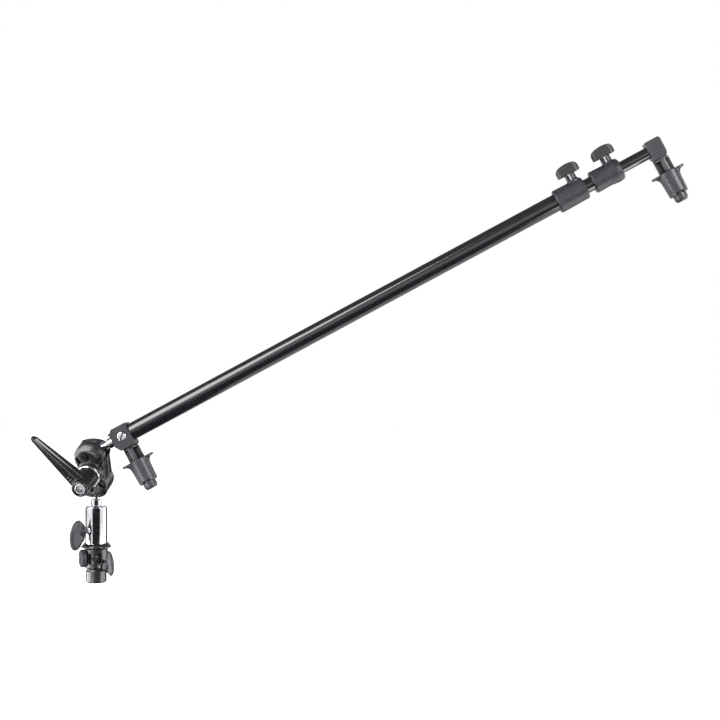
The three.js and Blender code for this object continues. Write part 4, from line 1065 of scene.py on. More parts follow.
@dataclass
class StudSocket:
    """Chromed receiver with the lower ball on top and a wing screw at its side."""

    radius: float = 13.75
    base: float = 48.2
    length: float = 49.3
    edge: float = 1.4
    bore_radius: float = 8.2
    top_wall: float = 12.0
    thread_radius: float = 5.3
    screw_height: float = 67.0
    screw_angle: float = -132.0
    screw_start: float = 6.9
    wing_gap: float = 3.0
    rounding: float = 0.7

    def receiver(self) -> Mesh:
        """Return the turned receiver with its bores."""
        top = self.base + self.length
        body = turned(rounded([
            (0, self.base), (self.radius - self.edge, self.base), (self.radius, self.base + self.edge),
            (self.radius, top - self.edge), (self.radius - self.edge, top), (0, top)],
            self.rounding, closed=False), FINE)
        bore = disc(self.bore_radius, self.base - OVERRUN, top - self.top_wall, FINE)
        thread = disc(self.thread_radius, top - self.top_wall - OVERRUN, top + OVERRUN, ROUND)
        hole = moved(along_x(disc(M8_SCREW.radius + CLEARANCE, 0, self.radius + OVERRUN, SMALL)),
                     hand_screw_frame(self.screw_angle, self.screw_height))
        return cut(body, bore, thread, hole)

    def build(self) -> None:
        """Make and place the receiver, its ball and its wing screw."""
        dress("receiver", "socket", "stud_socket", BRIGHT_CHROME, self.receiver(), ORIGIN)
        shoulder = LOWER_BALL - self.base - self.length - CLEARANCE
        dress("lower_ball", "socket", "lower_ball_stem", BRIGHT_CHROME,
              ball_stem(shoulder), shift(z=LOWER_BALL))
        place = hand_screw_frame(self.screw_angle, self.screw_height)
        dress("socket_screw_bright", "socket_thread", "socket_screw", BRIGHT_CHROME,
              threaded_screw(M8_SCREW, self.screw_start), place)
        wing_start = self.radius + self.wing_gap
        wing = WingHandle(wing_start, self.screw_start + M8_SCREW.length - wing_start,
                          up=14.4, down=24, reach=21, thickness=7)
        dress("socket_wing_grip", "socket_hand", "socket_wing", GRAINED_NYLON,
              wing.shape(), place)


def ball_stem(shoulder: float) -> Mesh:
    """Make a ball with its stem along -Z, as long as asked from the ball's centre to its shoulder."""
    radius, neck, neck_reach = 13.5, 4.5, 22.9
    stem, stem_edge, tail, tail_length, rounding = 6.75, 1.0, 5.0, 9.0, 0.35
    foot = math.degrees(math.asin(neck / radius))
    crown = [(max(x, 0.0), z) for x, z in arc((0, 0), radius, foot - 90, 90, MEDIUM)]
    crown[-1] = (0, radius)
    stem_part = rounded([
        (0, -shoulder - tail_length), (tail, -shoulder - tail_length), (tail, -shoulder),
        (stem - stem_edge, -shoulder), (stem, -shoulder + stem_edge), (stem, -neck_reach - stem_edge),
        (neck, -neck_reach), crown[0]], rounding, closed=False)
    return turned([*stem_part, *crown[1:]], FINE)


# Clamp and lever


@dataclass(frozen=True)
class Mouth:
    """Room for one stem: its side of the shell, the angles it sweeps, and how far it leans out."""

    side: int
    start: float
    end: float
    lean: float


@dataclass(frozen=True)
class ShellShape:
    """What differs between the two shells of the clamp."""

    boss_radius: float
    boss_height: float
    shoulder: float
    crown: float
    end_reach: float
    end_rise: float
    mouths: tuple[Mouth, Mouth]


FRONT_SHELL = ShellShape(15.2, 27.0, 15.6, 19.2, 21.0, 22.0,
                         (Mouth(1, 4, 122, 6), Mouth(-1, -127, -68, 22)))
BACK_SHELL = ShellShape(11.5, 20.5, 14.5, 18.0, 18.3, 19.0,
                        (Mouth(1, 68, 127, 6), Mouth(-1, -122, -4, 15)))


@dataclass
class BallClamp:
    """Two cast shells on one bolt that squeeze both balls."""

    lobe_radius: float = 19.3
    end_width: float = 30.0
    gap: float = 1.0
    ball_bore: float = 13.8
    ball_wall: float = 1.8
    waist_half_width: float = 17.8
    waist_half_height: float = 13.0
    waist_crown: float = 15.5
    waist_edge: float = 2.5
    boss_edge: float = 1.0
    pocket_floor: float = 14.0
    pocket_reach: float = 26.5
    pocket_inset: float = 2.2
    pocket_top: float = 21.2
    rib_half_angle: float = 8.0
    pocket_tip: float = 2.0
    pocket_spread: float = 111.0
    pocket_count: int = 3
    neck_radius: float = 4.5
    neck_reach: float = 22.9
    bolt_radius: float = 4.0
    washer_radius: float = 15.4
    washer_thickness: float = 2.6
    washer_edge: float = 0.9
    washer_rounding: float = 0.5
    waist_corner: float = 3.0
    pocket_corner: float = 0.8
    bolt_end: float = 43.2
    bolt_tip_base: float = 42.4
    bolt_tip_radius: float = 3.2
    head_radius: float = 8.5
    head_height: float = 4.5
    head_rim: float = 1.2
    head_crown: float = 0.4
    room_radius: float = 5.7
    room_depth: float = 10.0
    spring_radius: float = 4.95
    spring_turns: float = 5.0
    spring_reach: float = 9.2
    spring_wire: float = 0.5
    cell: float = 0.5
    passes: int = 8

    def lobe(self, shape: ShellShape, side: int) -> Mesh:
        """Return one end of a shell, round about the bolt's direction, with a domed end."""
        flat = self.lobe_radius / 2
        drum = turned([(0, self.gap), (self.lobe_radius, self.gap), (self.lobe_radius, shape.shoulder),
                       *quarter(self.lobe_radius, shape.shoulder, flat, shape.crown, 14),
                       (0, shape.crown)], FINE)
        end = moved(ball(1), Matrix.Diagonal((self.end_width, shape.end_reach, shape.end_rise, 1)))
        inner = moved(block(2 * self.lobe_radius, self.lobe_radius, 2 * shape.crown),
                      shift(0, -side * self.lobe_radius / 2, 0))
        return moved(common(drum, join(end, inner)), shift(0, side * BALL_SPACING / 2, 0))

    def mouth(self, room: Mouth) -> Mesh:
        """Return the room that a stem sweeps about its ball."""
        reach = self.neck_reach + OVERRUN
        lean = math.radians(room.lean)
        rise = self.neck_radius / math.cos(lean) + CLEARANCE
        saucer = turned([(0, -OVERRUN), (reach, -OVERRUN),
                         (reach, math.tan(lean) * reach + rise), (0, rise)], FINE)
        path = arc((0, 0), reach, room.start, room.end, 24)
        low = arc((0, 0), self.neck_radius + 2 * CLEARANCE, room.start - 90, room.start - 90, 1)[0]
        high = arc((0, 0), self.neck_radius + 2 * CLEARANCE, room.end + 90, room.end + 90, 1)[0]
        outline = [low, (path[0][0] + low[0], path[0][1] + low[1]), *path,
                   (path[-1][0] + high[0], path[-1][1] + high[1]), high]
        return moved(common(saucer, prism(outline, 4 * reach)),
                     shift(0, room.side * BALL_SPACING / 2, 0))

    def pockets(self, side: int, boss_radius: float) -> list[Mesh]:
        """Return the triangular pockets between the ribs that run out from the boss."""
        share = self.pocket_spread / self.pocket_count
        shapes = []
        for index in range(self.pocket_count):
            start = 90 - self.pocket_spread / 2 + index * share + self.rib_half_angle
            end = start + share - 2 * self.rib_half_angle
            middle = (start + end) / 2
            outline = rounded([*arc((0, 0), boss_radius + self.pocket_inset, start, end, 3),
                               *arc((0, 0), self.pocket_reach, middle + self.pocket_tip,
                                    middle - self.pocket_tip, 1)], self.pocket_corner)
            wedge = prism(outline, 2 * self.pocket_top)
            floor = moved(disc(self.lobe_radius - self.pocket_inset, self.pocket_floor,
                               self.pocket_top, FINE), shift(0, BALL_SPACING / 2, 0))
            wall = ball(self.ball_bore + self.ball_wall, (0, BALL_SPACING / 2, 0))
            pocket = cut(common(wedge, floor), wall)
            shapes.append(pocket if side > 0 else moved(pocket, spin("Z", 180)))
        return shapes

    def shell(self, shape: ShellShape) -> Mesh:
        """Return one shell with its boss, pockets, ball seats and mouths."""
        radius, height = shape.boss_radius, shape.boss_height
        half_width, half_height = self.waist_half_width, self.waist_half_height
        waist = moved(prism(rounded([(half_width, -half_height), (half_width, half_height),
                                     (-half_width, half_height), (-half_width, -half_height)],
                                    self.waist_corner),
                            self.waist_crown - self.gap, self.waist_edge, 5),
                      shift(z=(self.waist_crown + self.gap) / 2))
        edge = self.boss_edge
        tower = turned([(0, self.gap), (radius + edge, self.gap), (radius + edge, shape.shoulder),
                        (radius, shape.crown), (radius, height - edge), (radius - edge, height),
                        (0, height)], FINE)
        whole = join(self.lobe(shape, 1), self.lobe(shape, -1), waist, tower)
        soft = cast(cut(whole, *self.pockets(1, radius), *self.pockets(-1, radius)),
                    self.cell, self.passes)
        seats = [ball(self.ball_bore, (0, side * BALL_SPACING / 2, 0)) for side in (-1, 1)]
        hole = disc(self.bolt_radius + CLEARANCE, -OVERRUN, height + OVERRUN, SMALL)
        spring_room = disc(self.room_radius, -OVERRUN, self.room_depth, SMALL)
        return cut(soft, *seats, *[self.mouth(room) for room in shape.mouths], hole, spring_room)

    def bolt(self) -> Mesh:
        """Return the carriage bolt, with its low domed head at the back."""
        head_base = -BACK_SHELL.boss_height - CLEARANCE
        rim, foot = head_base - self.head_rim, head_base - self.head_height
        dome = quarter(self.head_radius, rim, self.head_crown, foot, 10)
        return turned([(0, self.bolt_end), (self.bolt_tip_radius, self.bolt_end),
                       (self.bolt_radius, self.bolt_tip_base), (self.bolt_radius, head_base),
                       (self.head_radius, head_base), (self.head_radius, rim), *dome, (0, foot)], ROUND)

    def washer(self) -> Mesh:
        """Return the bright thrust washer under the lever."""
        base = FRONT_SHELL.boss_height + CLEARANCE
        top = base + self.washer_thickness
        inner, outer, edge = self.bolt_radius + CLEARANCE, self.washer_radius, self.washer_edge
        loop = rounded([(inner, base), (outer - edge, base), (outer, base + edge), (outer, top - edge),
                        (outer - edge, top), (inner, top)], self.washer_rounding)
        return turned([*loop, loop[0]], FINE)

    def build(self) -> None:
        """Make and place both shells, the bolt, its spring and its washer."""
        dress("front_casting", "clamp", "front_shell", STOVED_CASTING,
              self.shell(FRONT_SHELL), BOLT)
        dress("back_casting", "clamp", "back_shell", STOVED_CASTING,
              moved(self.shell(BACK_SHELL), spin("X", 180)), BOLT)
        dress("carriage_bolt", "clamp", "clamp_bolt", ZINC_STEEL, self.bolt(), BOLT)
        dress("thrust_washer", "clamp", "clamp_washer", BRIGHT_CHROME, self.washer(), BOLT)
        dress("opening_spring", "clamp", "clamp_spring", SPRING_WIRE,
              grown(coil_tree(), SPRING_WIRE, Radius=self.spring_radius, Turns=self.spring_turns,
                    Low=-self.spring_reach, High=self.spring_reach, Wire=self.spring_wire), BOLT)


def return_coil(low: float, high: float, room: float) -> Mesh:
    """Return the coil that lever and clips share, with room for its wire at both faces."""
    radius, turns, wire = 6.6, 4.0, 0.6
    return grown(coil_tree(), SPRING_WIRE, Radius=radius, Turns=turns, Low=low + room,
                 High=high - room, Wire=wire)


@dataclass
class RatchetLever:
    """Toothed nut and the handle that lifts off its teeth, drawn about the clamp's bolt."""

    base: float = 30.2
    teeth: int = 16
    tooth_radius: float = 8.4
    tooth_depth: float = 1.0
    tooth_length: float = 5.0
    neck_radius: float = 6.2
    post_radius: float = 4.6
    insert_length: float = 28.0
    barrel_length: float = 33.0
    barrel_base_radius: float = 13.0
    barrel_tip_radius: float = 10.5
    lip_radius: float = 7.8
    recess: float = 2.5
    barrel_edge: float = 1.0
    ledge_base: float = 11.0
    ledge_thickness: float = 2.5
    handle_length: float = 86.5
    root_width: float = 21.0
    tip_width: float = 9.0
    root_thickness: float = 16.0
    tip_thickness: float = 8.0
    setback: float = 6.0
    ridge: float = 2.0
    crest: float = 3.5
    crest_flat: float = 1.4
    crest_share: float = 1 / 6
    slot_count: int = 3
    slot_start: float = 12.0
    slot_pitch: float = 4.0
    slot_width: float = 1.6
    slot_depth: float = 1.0
    slot_length: float = 7.0
    slot_place: float = 5.25
    head_base: float = 58.5
    head_height: float = 3.0
    head_radius: float = 7.2
    hex_radius: float = 3.6
    hex_depth: float = 2.6
    dish_radius: float = 5.2
    dish_depth: float = 1.6
    tooth_edge: float = 0.2
    neck_length: float = 13.3
    insert_edge: float = 0.4
    thread_radius: float = 4.3
    screw_bore: float = 2.7
    screw_bore_depth: float = 7.3
    screw_radius: float = 2.4
    screw_length: float = 7.0
    screw_rounding: float = 0.5
    lip_flare: float = 0.5
    lip_step: float = 0.01
    spring_setback: float = 0.9
    cell: float = 0.38
    passes: int = 5

    def toothed(self, radius: float) -> list[Point]:
        """Return the outline of the ratchet's teeth."""
        count = 4 * self.teeth
        points: list[Point] = []
        for step in range(count):
            reach = radius if step % 4 < 2 else radius - self.tooth_depth
            angle = 2 * math.pi * step / count
            points.append((reach * math.cos(angle), reach * math.sin(angle)))
        return points

    def insert(self) -> Mesh:
        """Return the steel nut with its teeth and post."""
        teeth = moved(prism(self.toothed(self.tooth_radius), self.tooth_length, self.tooth_edge, 2),
                      shift(z=self.base + self.tooth_length / 2))
        neck_top, top = self.base + self.neck_length, self.base + self.insert_length
        neck = disc(self.neck_radius, self.base, neck_top, ROUND, self.insert_edge)
        post = disc(self.post_radius, self.base, top, ROUND, self.insert_edge)
        thread = disc(self.thread_radius, self.base - OVERRUN, neck_top, SMALL)
        hole = disc(self.screw_bore, top - self.screw_bore_depth, top + OVERRUN, SMALL)
        return cut(join(teeth, neck, post), thread, hole)

    def bar(self) -> Mesh:
        """Return the handle's bar, which tapers in width and thickness under a crest."""
        front = self.barrel_length - self.setback
        tip_start = self.handle_length - self.tip_width / 2
        stations = [(0.0, self.root_width, self.root_thickness),
                    (tip_start, self.tip_width, self.tip_thickness),
                    (self.handle_length, self.tip_width - 2 * self.ridge,
                     self.tip_thickness - self.ridge)]
        rings = []
        for reach, width, thickness in stations:
            back = front - thickness
            outline = [(self.ridge - width / 2, back), (width / 2 - self.ridge, back),
                       (width / 2, back + self.ridge), (width / 2, front - self.crest),
                       (self.crest_flat / 2 - width * self.crest_share, front),
                       (-self.crest_flat / 2 - width * self.crest_share, front),
                       (-width / 2, front - self.crest), (-width / 2, back + self.ridge)]
            rings.append([(reach, across, self.base + height) for across, height in outline])
        return lofted(rings)

    def handle(self) -> Mesh:
        """Return the moulded handle with its barrel."""
        top = self.base + self.barrel_length
        low = self.base + CLEARANCE
        barrel = turned([(0, low), (self.barrel_base_radius - self.barrel_edge, low),
                         (self.barrel_base_radius, low + self.barrel_edge),
                         (self.barrel_tip_radius, top - self.barrel_edge),
                         (self.barrel_tip_radius - self.barrel_edge, top), (0, top)], FINE)
        front = self.base + self.barrel_length - self.setback
        slot = moved(block(self.slot_width, self.slot_length, self.crest),
                     shift(self.slot_start, self.slot_place, front - self.slot_depth))
        slots = grown(row_tree(), POLISHED_NYLON, slot, Count=self.slot_count, Pitch=self.slot_pitch)
        soft = cast(cut(join(barrel, self.bar()), slots), self.cell, self.passes)
        tooth_room = moved(prism(self.toothed(self.tooth_radius + CLEARANCE), self.tooth_length + OVERRUN),
                           shift(z=self.base + (self.tooth_length - OVERRUN) / 2 + CLEARANCE))
        lower = disc(self.tooth_radius - self.tooth_depth + CLEARANCE,
                     self.base, self.base + self.ledge_base)
        through = disc(self.neck_radius + CLEARANCE, self.base, top + OVERRUN)
        upper = disc(self.lip_radius - CLEARANCE,
                     self.base + self.ledge_base + self.ledge_thickness, top + OVERRUN)
        flared = self.lip_radius + self.lip_flare
        lip = turned([(0, top - self.recess), (self.lip_radius, top - self.recess),
                      (self.lip_radius, top - self.lip_flare), (flared, top + self.lip_step),
                      (flared, top + OVERRUN), (0, top + OVERRUN)], FINE)
        return cut(soft, tooth_room, lower, through, upper, lip)

    def screw(self) -> Mesh:
        """Return the cap screw that keeps handle and spring on the nut."""
        top = self.head_base + self.head_height
        foot = self.head_base - self.screw_length
        head = turned(rounded([
            (0, foot), (self.screw_radius, foot), (self.screw_radius, self.head_base),
            (self.head_radius, self.head_base), (self.head_radius, top), (0, top)],
            self.screw_rounding, closed=False), ROUND)
        hexagon = arc((0, 0), self.hex_radius, 0, 300, 5)
        recess = moved(prism(hexagon, 2 * self.hex_depth), shift(z=top))
        dish = disc(self.dish_radius, top - self.dish_depth, top + OVERRUN, ROUND)
        return cut(head, recess, dish)

    def build(self) -> None:
        """Make and place the nut, the handle, the spring and the cap screw."""
        dress("ratchet_nut", "lever", "lever_insert", ZINC_STEEL, self.insert(), LEVER)
        dress("lever_grip", "lever_grip", "lever_handle", POLISHED_NYLON,
              self.handle(), LEVER)
        dress("cap_screw", "lever", "lever_screw", SHADED_SOCKET_ZINC, self.screw(), LEVER)
        ledge = self.base + self.ledge_base + self.ledge_thickness
        spring = dress("return_spring", "lever", "lever_spring", SPRING_WIRE,
                       return_coil(ledge, self.head_base, self.spring_setback), LEVER)
        squeeze(spring)


# Arm: block, tubes, collars, knobs, elbow and clips. X runs along it from the upper ball.


@dataclass(frozen=True)
class TubeSpan:
    """Outer radius of a tube, and where it starts and ends along the arm."""

    radius: float
    start: float
    end: float


MAIN_TUBE = TubeSpan(11.0, 42.0, 684.0)
MIDDLE_TUBE = TubeSpan(9.0, 74.0, 734.0)
END_TUBE = TubeSpan(7.5, 102.0, 803.0)


def tenon_room(bottom: float, place: float) -> Mesh:
    """Return the bore for a clip post's tenon, from below, at its place along the arm."""
    return moved(disc(TENON_RADIUS + CLEARANCE, -bottom - OVERRUN,
                      -bottom + (TENON_LENGTH + CLEARANCE), SMALL), shift(place))


def oblong(half: float, radius: float) -> list[Point]:
    """Return an outline along X, as long as twice the half, with round ends."""
    return [*arc((half - radius, 0), radius, -90, 90, 24), *arc((radius - half, 0), radius, 90, 270, 24)]


@dataclass
class BaseBlock:
    """Moulded block that joins the upper ball's stem, the main tube and the near clip."""

    start: float = 31.5
    end: float = 57.0
    depth: float = 26.0
    top: float = 13.8
    bottom: float = 16.0
    top_cut: float = 5.0
    nose_top: float = 8.5
    nose_bottom: float = 8.4
    post_edge: float = 36.5
    edge: float = 1.0
    nub_radius: float = 2.3
    tube_start: float = MAIN_TUBE.start
    tube_radius: float = MAIN_TUBE.radius
    head_radius: float = 5.8
    head_height: float = 2.6
    head_proud: float = 1.0
    slot_width: float = 1.8
    slot_depth: float = 1.3
    slot_angle: float = 45.0
    corner: float = 1.6
    nub_edge: float = 0.5
    tail_bore: float = 5.3
    tail_depth: float = 9.3
    seat_lip: float = 0.9
    seat_rim: float = 0.4
    seat_rise: float = 0.05
    screw_reach: float = 9.7
    screw_radius: float = 2.5
    screw_tip: float = 2.1
    screw_edge: float = 0.4
    head_edge: float = 0.3
    dome_rise: float = 0.9
    dome_inset: float = 1.2

    def block(self) -> Mesh:
        """Return the block with its seats for tube, stem, clip and screw."""
        outline = rounded([(self.post_edge, -self.bottom), (self.end, -self.bottom), (self.end, self.top),
                           (self.start + self.top_cut, self.top), (self.start, self.nose_top),
                           (self.start, -self.nose_bottom)], self.corner)
        body = upright_side(prism(outline, self.depth, self.edge, 5))
        nub = moved(disc(self.nub_radius, -self.depth / 2 + self.edge, self.depth / 2 - self.edge,
                         SMALL, self.nub_edge),
                    shift(self.start + self.nub_radius / 2, 0, self.nose_top), spin("X", 90))
        tube = along_x(disc(self.tube_radius + CLEARANCE, self.tube_start - CLEARANCE,
                            self.end + OVERRUN, FINE))
        tail = along_x(disc(self.tail_bore, self.start - 2 * OVERRUN, self.start + self.tail_depth, SMALL))
        tenon = tenon_room(self.bottom, NEAR_CLIP)
        side = self.depth / 2
        floor = side - self.head_height + self.head_proud - CLEARANCE
        seat = turned([(0, floor), (self.head_radius + CLEARANCE, floor),
                       (self.head_radius + CLEARANCE, side - self.seat_rim),
                       (self.head_radius + self.seat_lip, side + self.seat_rise),
                       (self.head_radius + self.seat_lip, side + OVERRUN), (0, side + OVERRUN)], ROUND)
        shank = disc(PIN_BORE, 0, side + OVERRUN, SMALL)
        side_hole = moved(join(seat, shank), shift(PIN_PLACE), spin("X", 90))
        return cut(join(body, nub), tube, tail, tenon, side_hole)

    def screw(self) -> Mesh:
        """Return the slotted screw that pins the tube."""
        top = self.depth / 2 + self.head_proud
        tip = self.screw_reach - OVERRUN
        seat = top - self.head_height
        body = turned([(0, tip), (self.screw_tip, tip), (self.screw_radius, tip + self.screw_edge),
                       (self.screw_radius, seat), (self.head_radius - self.head_edge, seat),
                       (self.head_radius, seat + self.head_edge),
                       *quarter(self.head_radius, top - self.dome_rise,
                                self.head_radius - self.dome_inset, top, 6), (0, top)], ROUND)
        slot = moved(block(3 * self.head_radius, self.slot_width, 2 * self.slot_depth),
                     shift(z=top), spin("Z", self.slot_angle))
        return moved(cut(body, slot), shift(PIN_PLACE), spin("X", 90))

    def build(self) -> None:
        """Make and place the upper ball, the block and its screw."""
        dress("upper_ball_bright", "upper_ball", "upper_ball_stem", BRIGHT_CHROME,
              ball_stem(self.start - CLEARANCE), ARM @ spin("Y", -90))
        dress("tube_block", "arm", "base_block", COARSE_NYLON, self.block(), ARM)
        dress("tube_pin_screw", "arm", "block_screw", SLOTTED_CHROME, self.screw(), ARM)
        carry_over("tube_plug", BLACK_ACETAL)


@dataclass
class SlidingTubes:
    """Three drawn tubes, one inside the other, with bushes at their inner ends."""

    wall: float = 1.0
    rim: float = 0.25

    def tube(self, span: TubeSpan) -> Mesh:
        """Return one tube along X."""
        return along_x(grown(pipe_tree(), DYED_TUBE, Outer=span.radius, Wall=self.wall,
                             Low=span.start, High=span.end, Rim=self.rim))

    def build(self) -> None:
        """Make and place the tubes."""
        hole = moved(disc(PIN_BORE, 0, MAIN_TUBE.radius + OVERRUN, SMALL), shift(PIN_PLACE), spin("X", 90))
        dress("largest_tube", "arm", "main_tube", DYED_TUBE,
              cut(self.tube(MAIN_TUBE), hole), ARM)
        dress("sliding_tube_1", "middle", "middle_tube", DYED_TUBE,
              self.tube(MIDDLE_TUBE), ARM)
        dress("sliding_tube_2", "end", "end_tube", DYED_TUBE, self.tube(END_TUBE), ARM)
        for node in ("middle_bush", "end_bush"):
            carry_over(node, BLACK_ACETAL)


@dataclass
class LockingCollar:
    """Collar over the end of a tube, with a tower, a T-knob on its bolt and a brake shoe."""

    number: int
    profile: list[Point]
    knob_place: float
    knob_base: float
    outer_tube: float
    outer_end: float
    inner_tube: float
    start: float
    length: float
    tower_radius: float = 6.7
    tower_rise: float = 8.0
    window_width: float = 4.3
    window_offset: float = 2.45
    running_gap: float = 0.5
    shoe_radius: float = 4.5
    shoe_room: float = 5.2
    bolt_radius: float = 4.0
    bolt_grip: float = 8.0
    knob_length: float = 30.0
    knob_width: float = 14.5
    knob_height: float = 13.4
    knob_shoulder: float = 10.0
    knob_rounding: float = 1.5
    corner: float = 3.0
    rounding: float = 1.1
    tower_rounding: float = 0.6
    shoe_length: float = 3.0
    pitch: float = 1.25
    thread_depth: float = 0.6
    tip_edge: float = 0.5
    cell: float = 0.3
    passes: int = 7

    def collar(self) -> Mesh:
        """Return the collar with its tower, bores and window."""
        body = along_x(turned(rounded(self.profile, self.rounding, closed=False, steps=4), FINE))
        radius, top = self.tower_radius, self.knob_base - self.running_gap
        tower = moved(turned(rounded([(0, 0), (radius, 0), (radius, top), (0, top)],
                                     self.tower_rounding, closed=False), ROUND), shift(self.knob_place))
        flare, drop, ease, inset = 1.6, 0.6, 0.5, 0.2
        level = top - self.tower_rise
        foot = moved(turned([(0, 0), (radius + flare, 0), (radius + flare, level - drop),
                             (radius + ease, level + ease), (radius - inset, level + flare),
                             (0, level + flare)], ROUND), shift(self.knob_place))
        large = along_x(disc(self.outer_tube + CLEARANCE, self.start - OVERRUN,
                             self.outer_end + CLEARANCE, FINE))
        small = along_x(disc(self.inner_tube + CLEARANCE, self.start,
                             self.start + self.length + OVERRUN, FINE))
        shoe_room = moved(disc(self.shoe_radius + CLEARANCE, 0, self.inner_tube + self.shoe_room, SMALL),
                          shift(self.knob_place))
        bolt_room = moved(disc(self.bolt_radius + CLEARANCE, 0, self.knob_base + OVERRUN, SMALL),
                          shift(self.knob_place))
        window = moved(block(self.window_width, 3 * self.tower_radius, self.tower_rise),
                       shift(self.knob_place - self.window_offset, 0, self.knob_base - self.tower_rise / 2))
        return cut(join(body, tower, foot), large, small, shoe_room, bolt_room, window)

    def knob(self) -> Mesh:
        """Return the oblong cap with its arched top and round ends."""
        half = self.knob_length / 2
        rise = self.knob_height - self.knob_shoulder
        arch = (half * half + rise * rise) / (2 * rise)
        sweep = math.degrees(math.asin((half - self.corner) / arch))
        side = [(-half, 0), (half, 0), (half, self.knob_shoulder - self.corner),
                *arc((0, self.knob_height - arch), arch, 90 - sweep, 90 + sweep, 20),
                (-half, self.knob_shoulder - self.corner)]
        cap = common(upright_side(prism(rounded(side, self.knob_rounding), 2 * self.knob_width)),
                     prism(oblong(half, self.knob_width / 2), 4 * self.knob_height))
        soft = cast(cap, self.cell, self.passes)
        bore = disc(self.bolt_radius + CLEARANCE, -OVERRUN, self.bolt_grip + CLEARANCE, SMALL)
        return moved(cut(soft, bore), shift(z=self.knob_base))

    def bolt(self) -> Mesh:
        """Return the bright bolt under the cap, with a turned thread."""
        radius, tip = self.bolt_radius, self.inner_tube + 2 * CLEARANCE + self.shoe_length
        top = self.knob_base + self.bolt_grip
        profile: list[Point] = [(0, tip), (radius - self.tip_edge, tip), (radius, tip + self.tip_edge)]
        place = tip + 2 * self.tip_edge
        while place + self.pitch < self.knob_base - self.tower_rise:
            profile += [(radius, place), (radius - self.thread_depth, place + self.thread_depth)]
            place += self.pitch
        return turned([*profile, (radius, place), (radius, top), (0, top)], MEDIUM)

    def build(self, parent: str) -> None:
        """Make and place the collar, its cap, its bolt and its shoe.

        Args:
            parent: Body of the collar.
        """
        number = self.number
        stand = ARM @ shift(self.knob_place)
        dress(f"lock_collar_{number}", parent, f"collar_{number}", GRAINED_NYLON,
              self.collar(), ARM)
        dress(f"t_knob_{number}", f"turn_{number}", f"knob_{number}", COARSE_NYLON,
              self.knob(), stand)
        dress(f"t_knob_bolt_{number}", f"turn_{number}", f"knob_{number}_bolt", BRIGHT_CHROME,
              self.bolt(), stand)
        carry_over(f"shoe_{number}", BLACK_ACETAL)


def near_collar() -> LockingCollar:
    """Return the collar between the largest tube and the first sliding tube."""
    start, length, radius, end_radius, rim = 663.0, 40.0, 15.0, 14.3, 1.4
    end = start + length
    profile = [(0, start), (radius - rim, start), (radius, start + rim), (end_radius, end - rim),
               (end_radius - rim, end), (0, end)]
    return LockingCollar(1, profile, 693.0, 23.5, MAIN_TUBE.radius, MAIN_TUBE.end,
                         MIDDLE_TUBE.radius, start, length)


def far_collar() -> LockingCollar:
    """Return the waisted collar between the two sliding tubes."""
    start, length, rim, shoulder = 713.0, 39.5, 1.4, 3.3
    radius, waist_radius, lip_radius = 14.1, 13.6, 14.9
    end = start + length
    lip = end - 2 * shoulder
    profile = [(0, start), (radius - rim, start), (radius, start + rim), (waist_radius, (start + end) / 2),
               (lip_radius, lip - shoulder), (lip_radius, lip), (lip_radius - 1, end - shoulder / 2),
               (lip_radius - 3, end), (0, end)]
    return LockingCollar(2, profile, 741.2, 22.1, MIDDLE_TUBE.radius, MIDDLE_TUBE.end,
                         END_TUBE.radius, start, length)


@dataclass
class EndElbow:
    """Moulded cap on the thinnest tube, which carries the far clip."""

    start: float = 790.0
    end: float = 810.5
    depth: float = 21.0
    top: float = 12.6
    bottom: float = 13.0
    cut_back: float = 2.2
    cut_rise: float = 5.0
    corner: float = 1.8
    edge: float = 1.0

    def build(self) -> None:
        """Make and place the elbow."""
        outline = rounded([
            (self.start + self.cut_back, -self.bottom), (self.end - self.cut_back, -self.bottom),
            (self.end, -self.bottom + self.cut_rise), (self.end, self.top - self.cut_back),
            (self.end - self.cut_back, self.top), (self.start + self.cut_back / 2, self.top),
            (self.start, self.top - self.cut_back / 2), (self.start, -self.bottom + self.cut_rise)],
            self.corner)
        body = upright_side(prism(outline, self.depth, self.edge, 5))
        tube = along_x(disc(END_TUBE.radius + CLEARANCE, self.start - OVERRUN,
                            END_TUBE.end + CLEARANCE, FINE))
        tenon = tenon_room(self.bottom, FAR_CLIP)
        dress("end_cap", "end", "end_elbow", SMOOTH_NYLON, cut(body, tube, tenon), ARM)


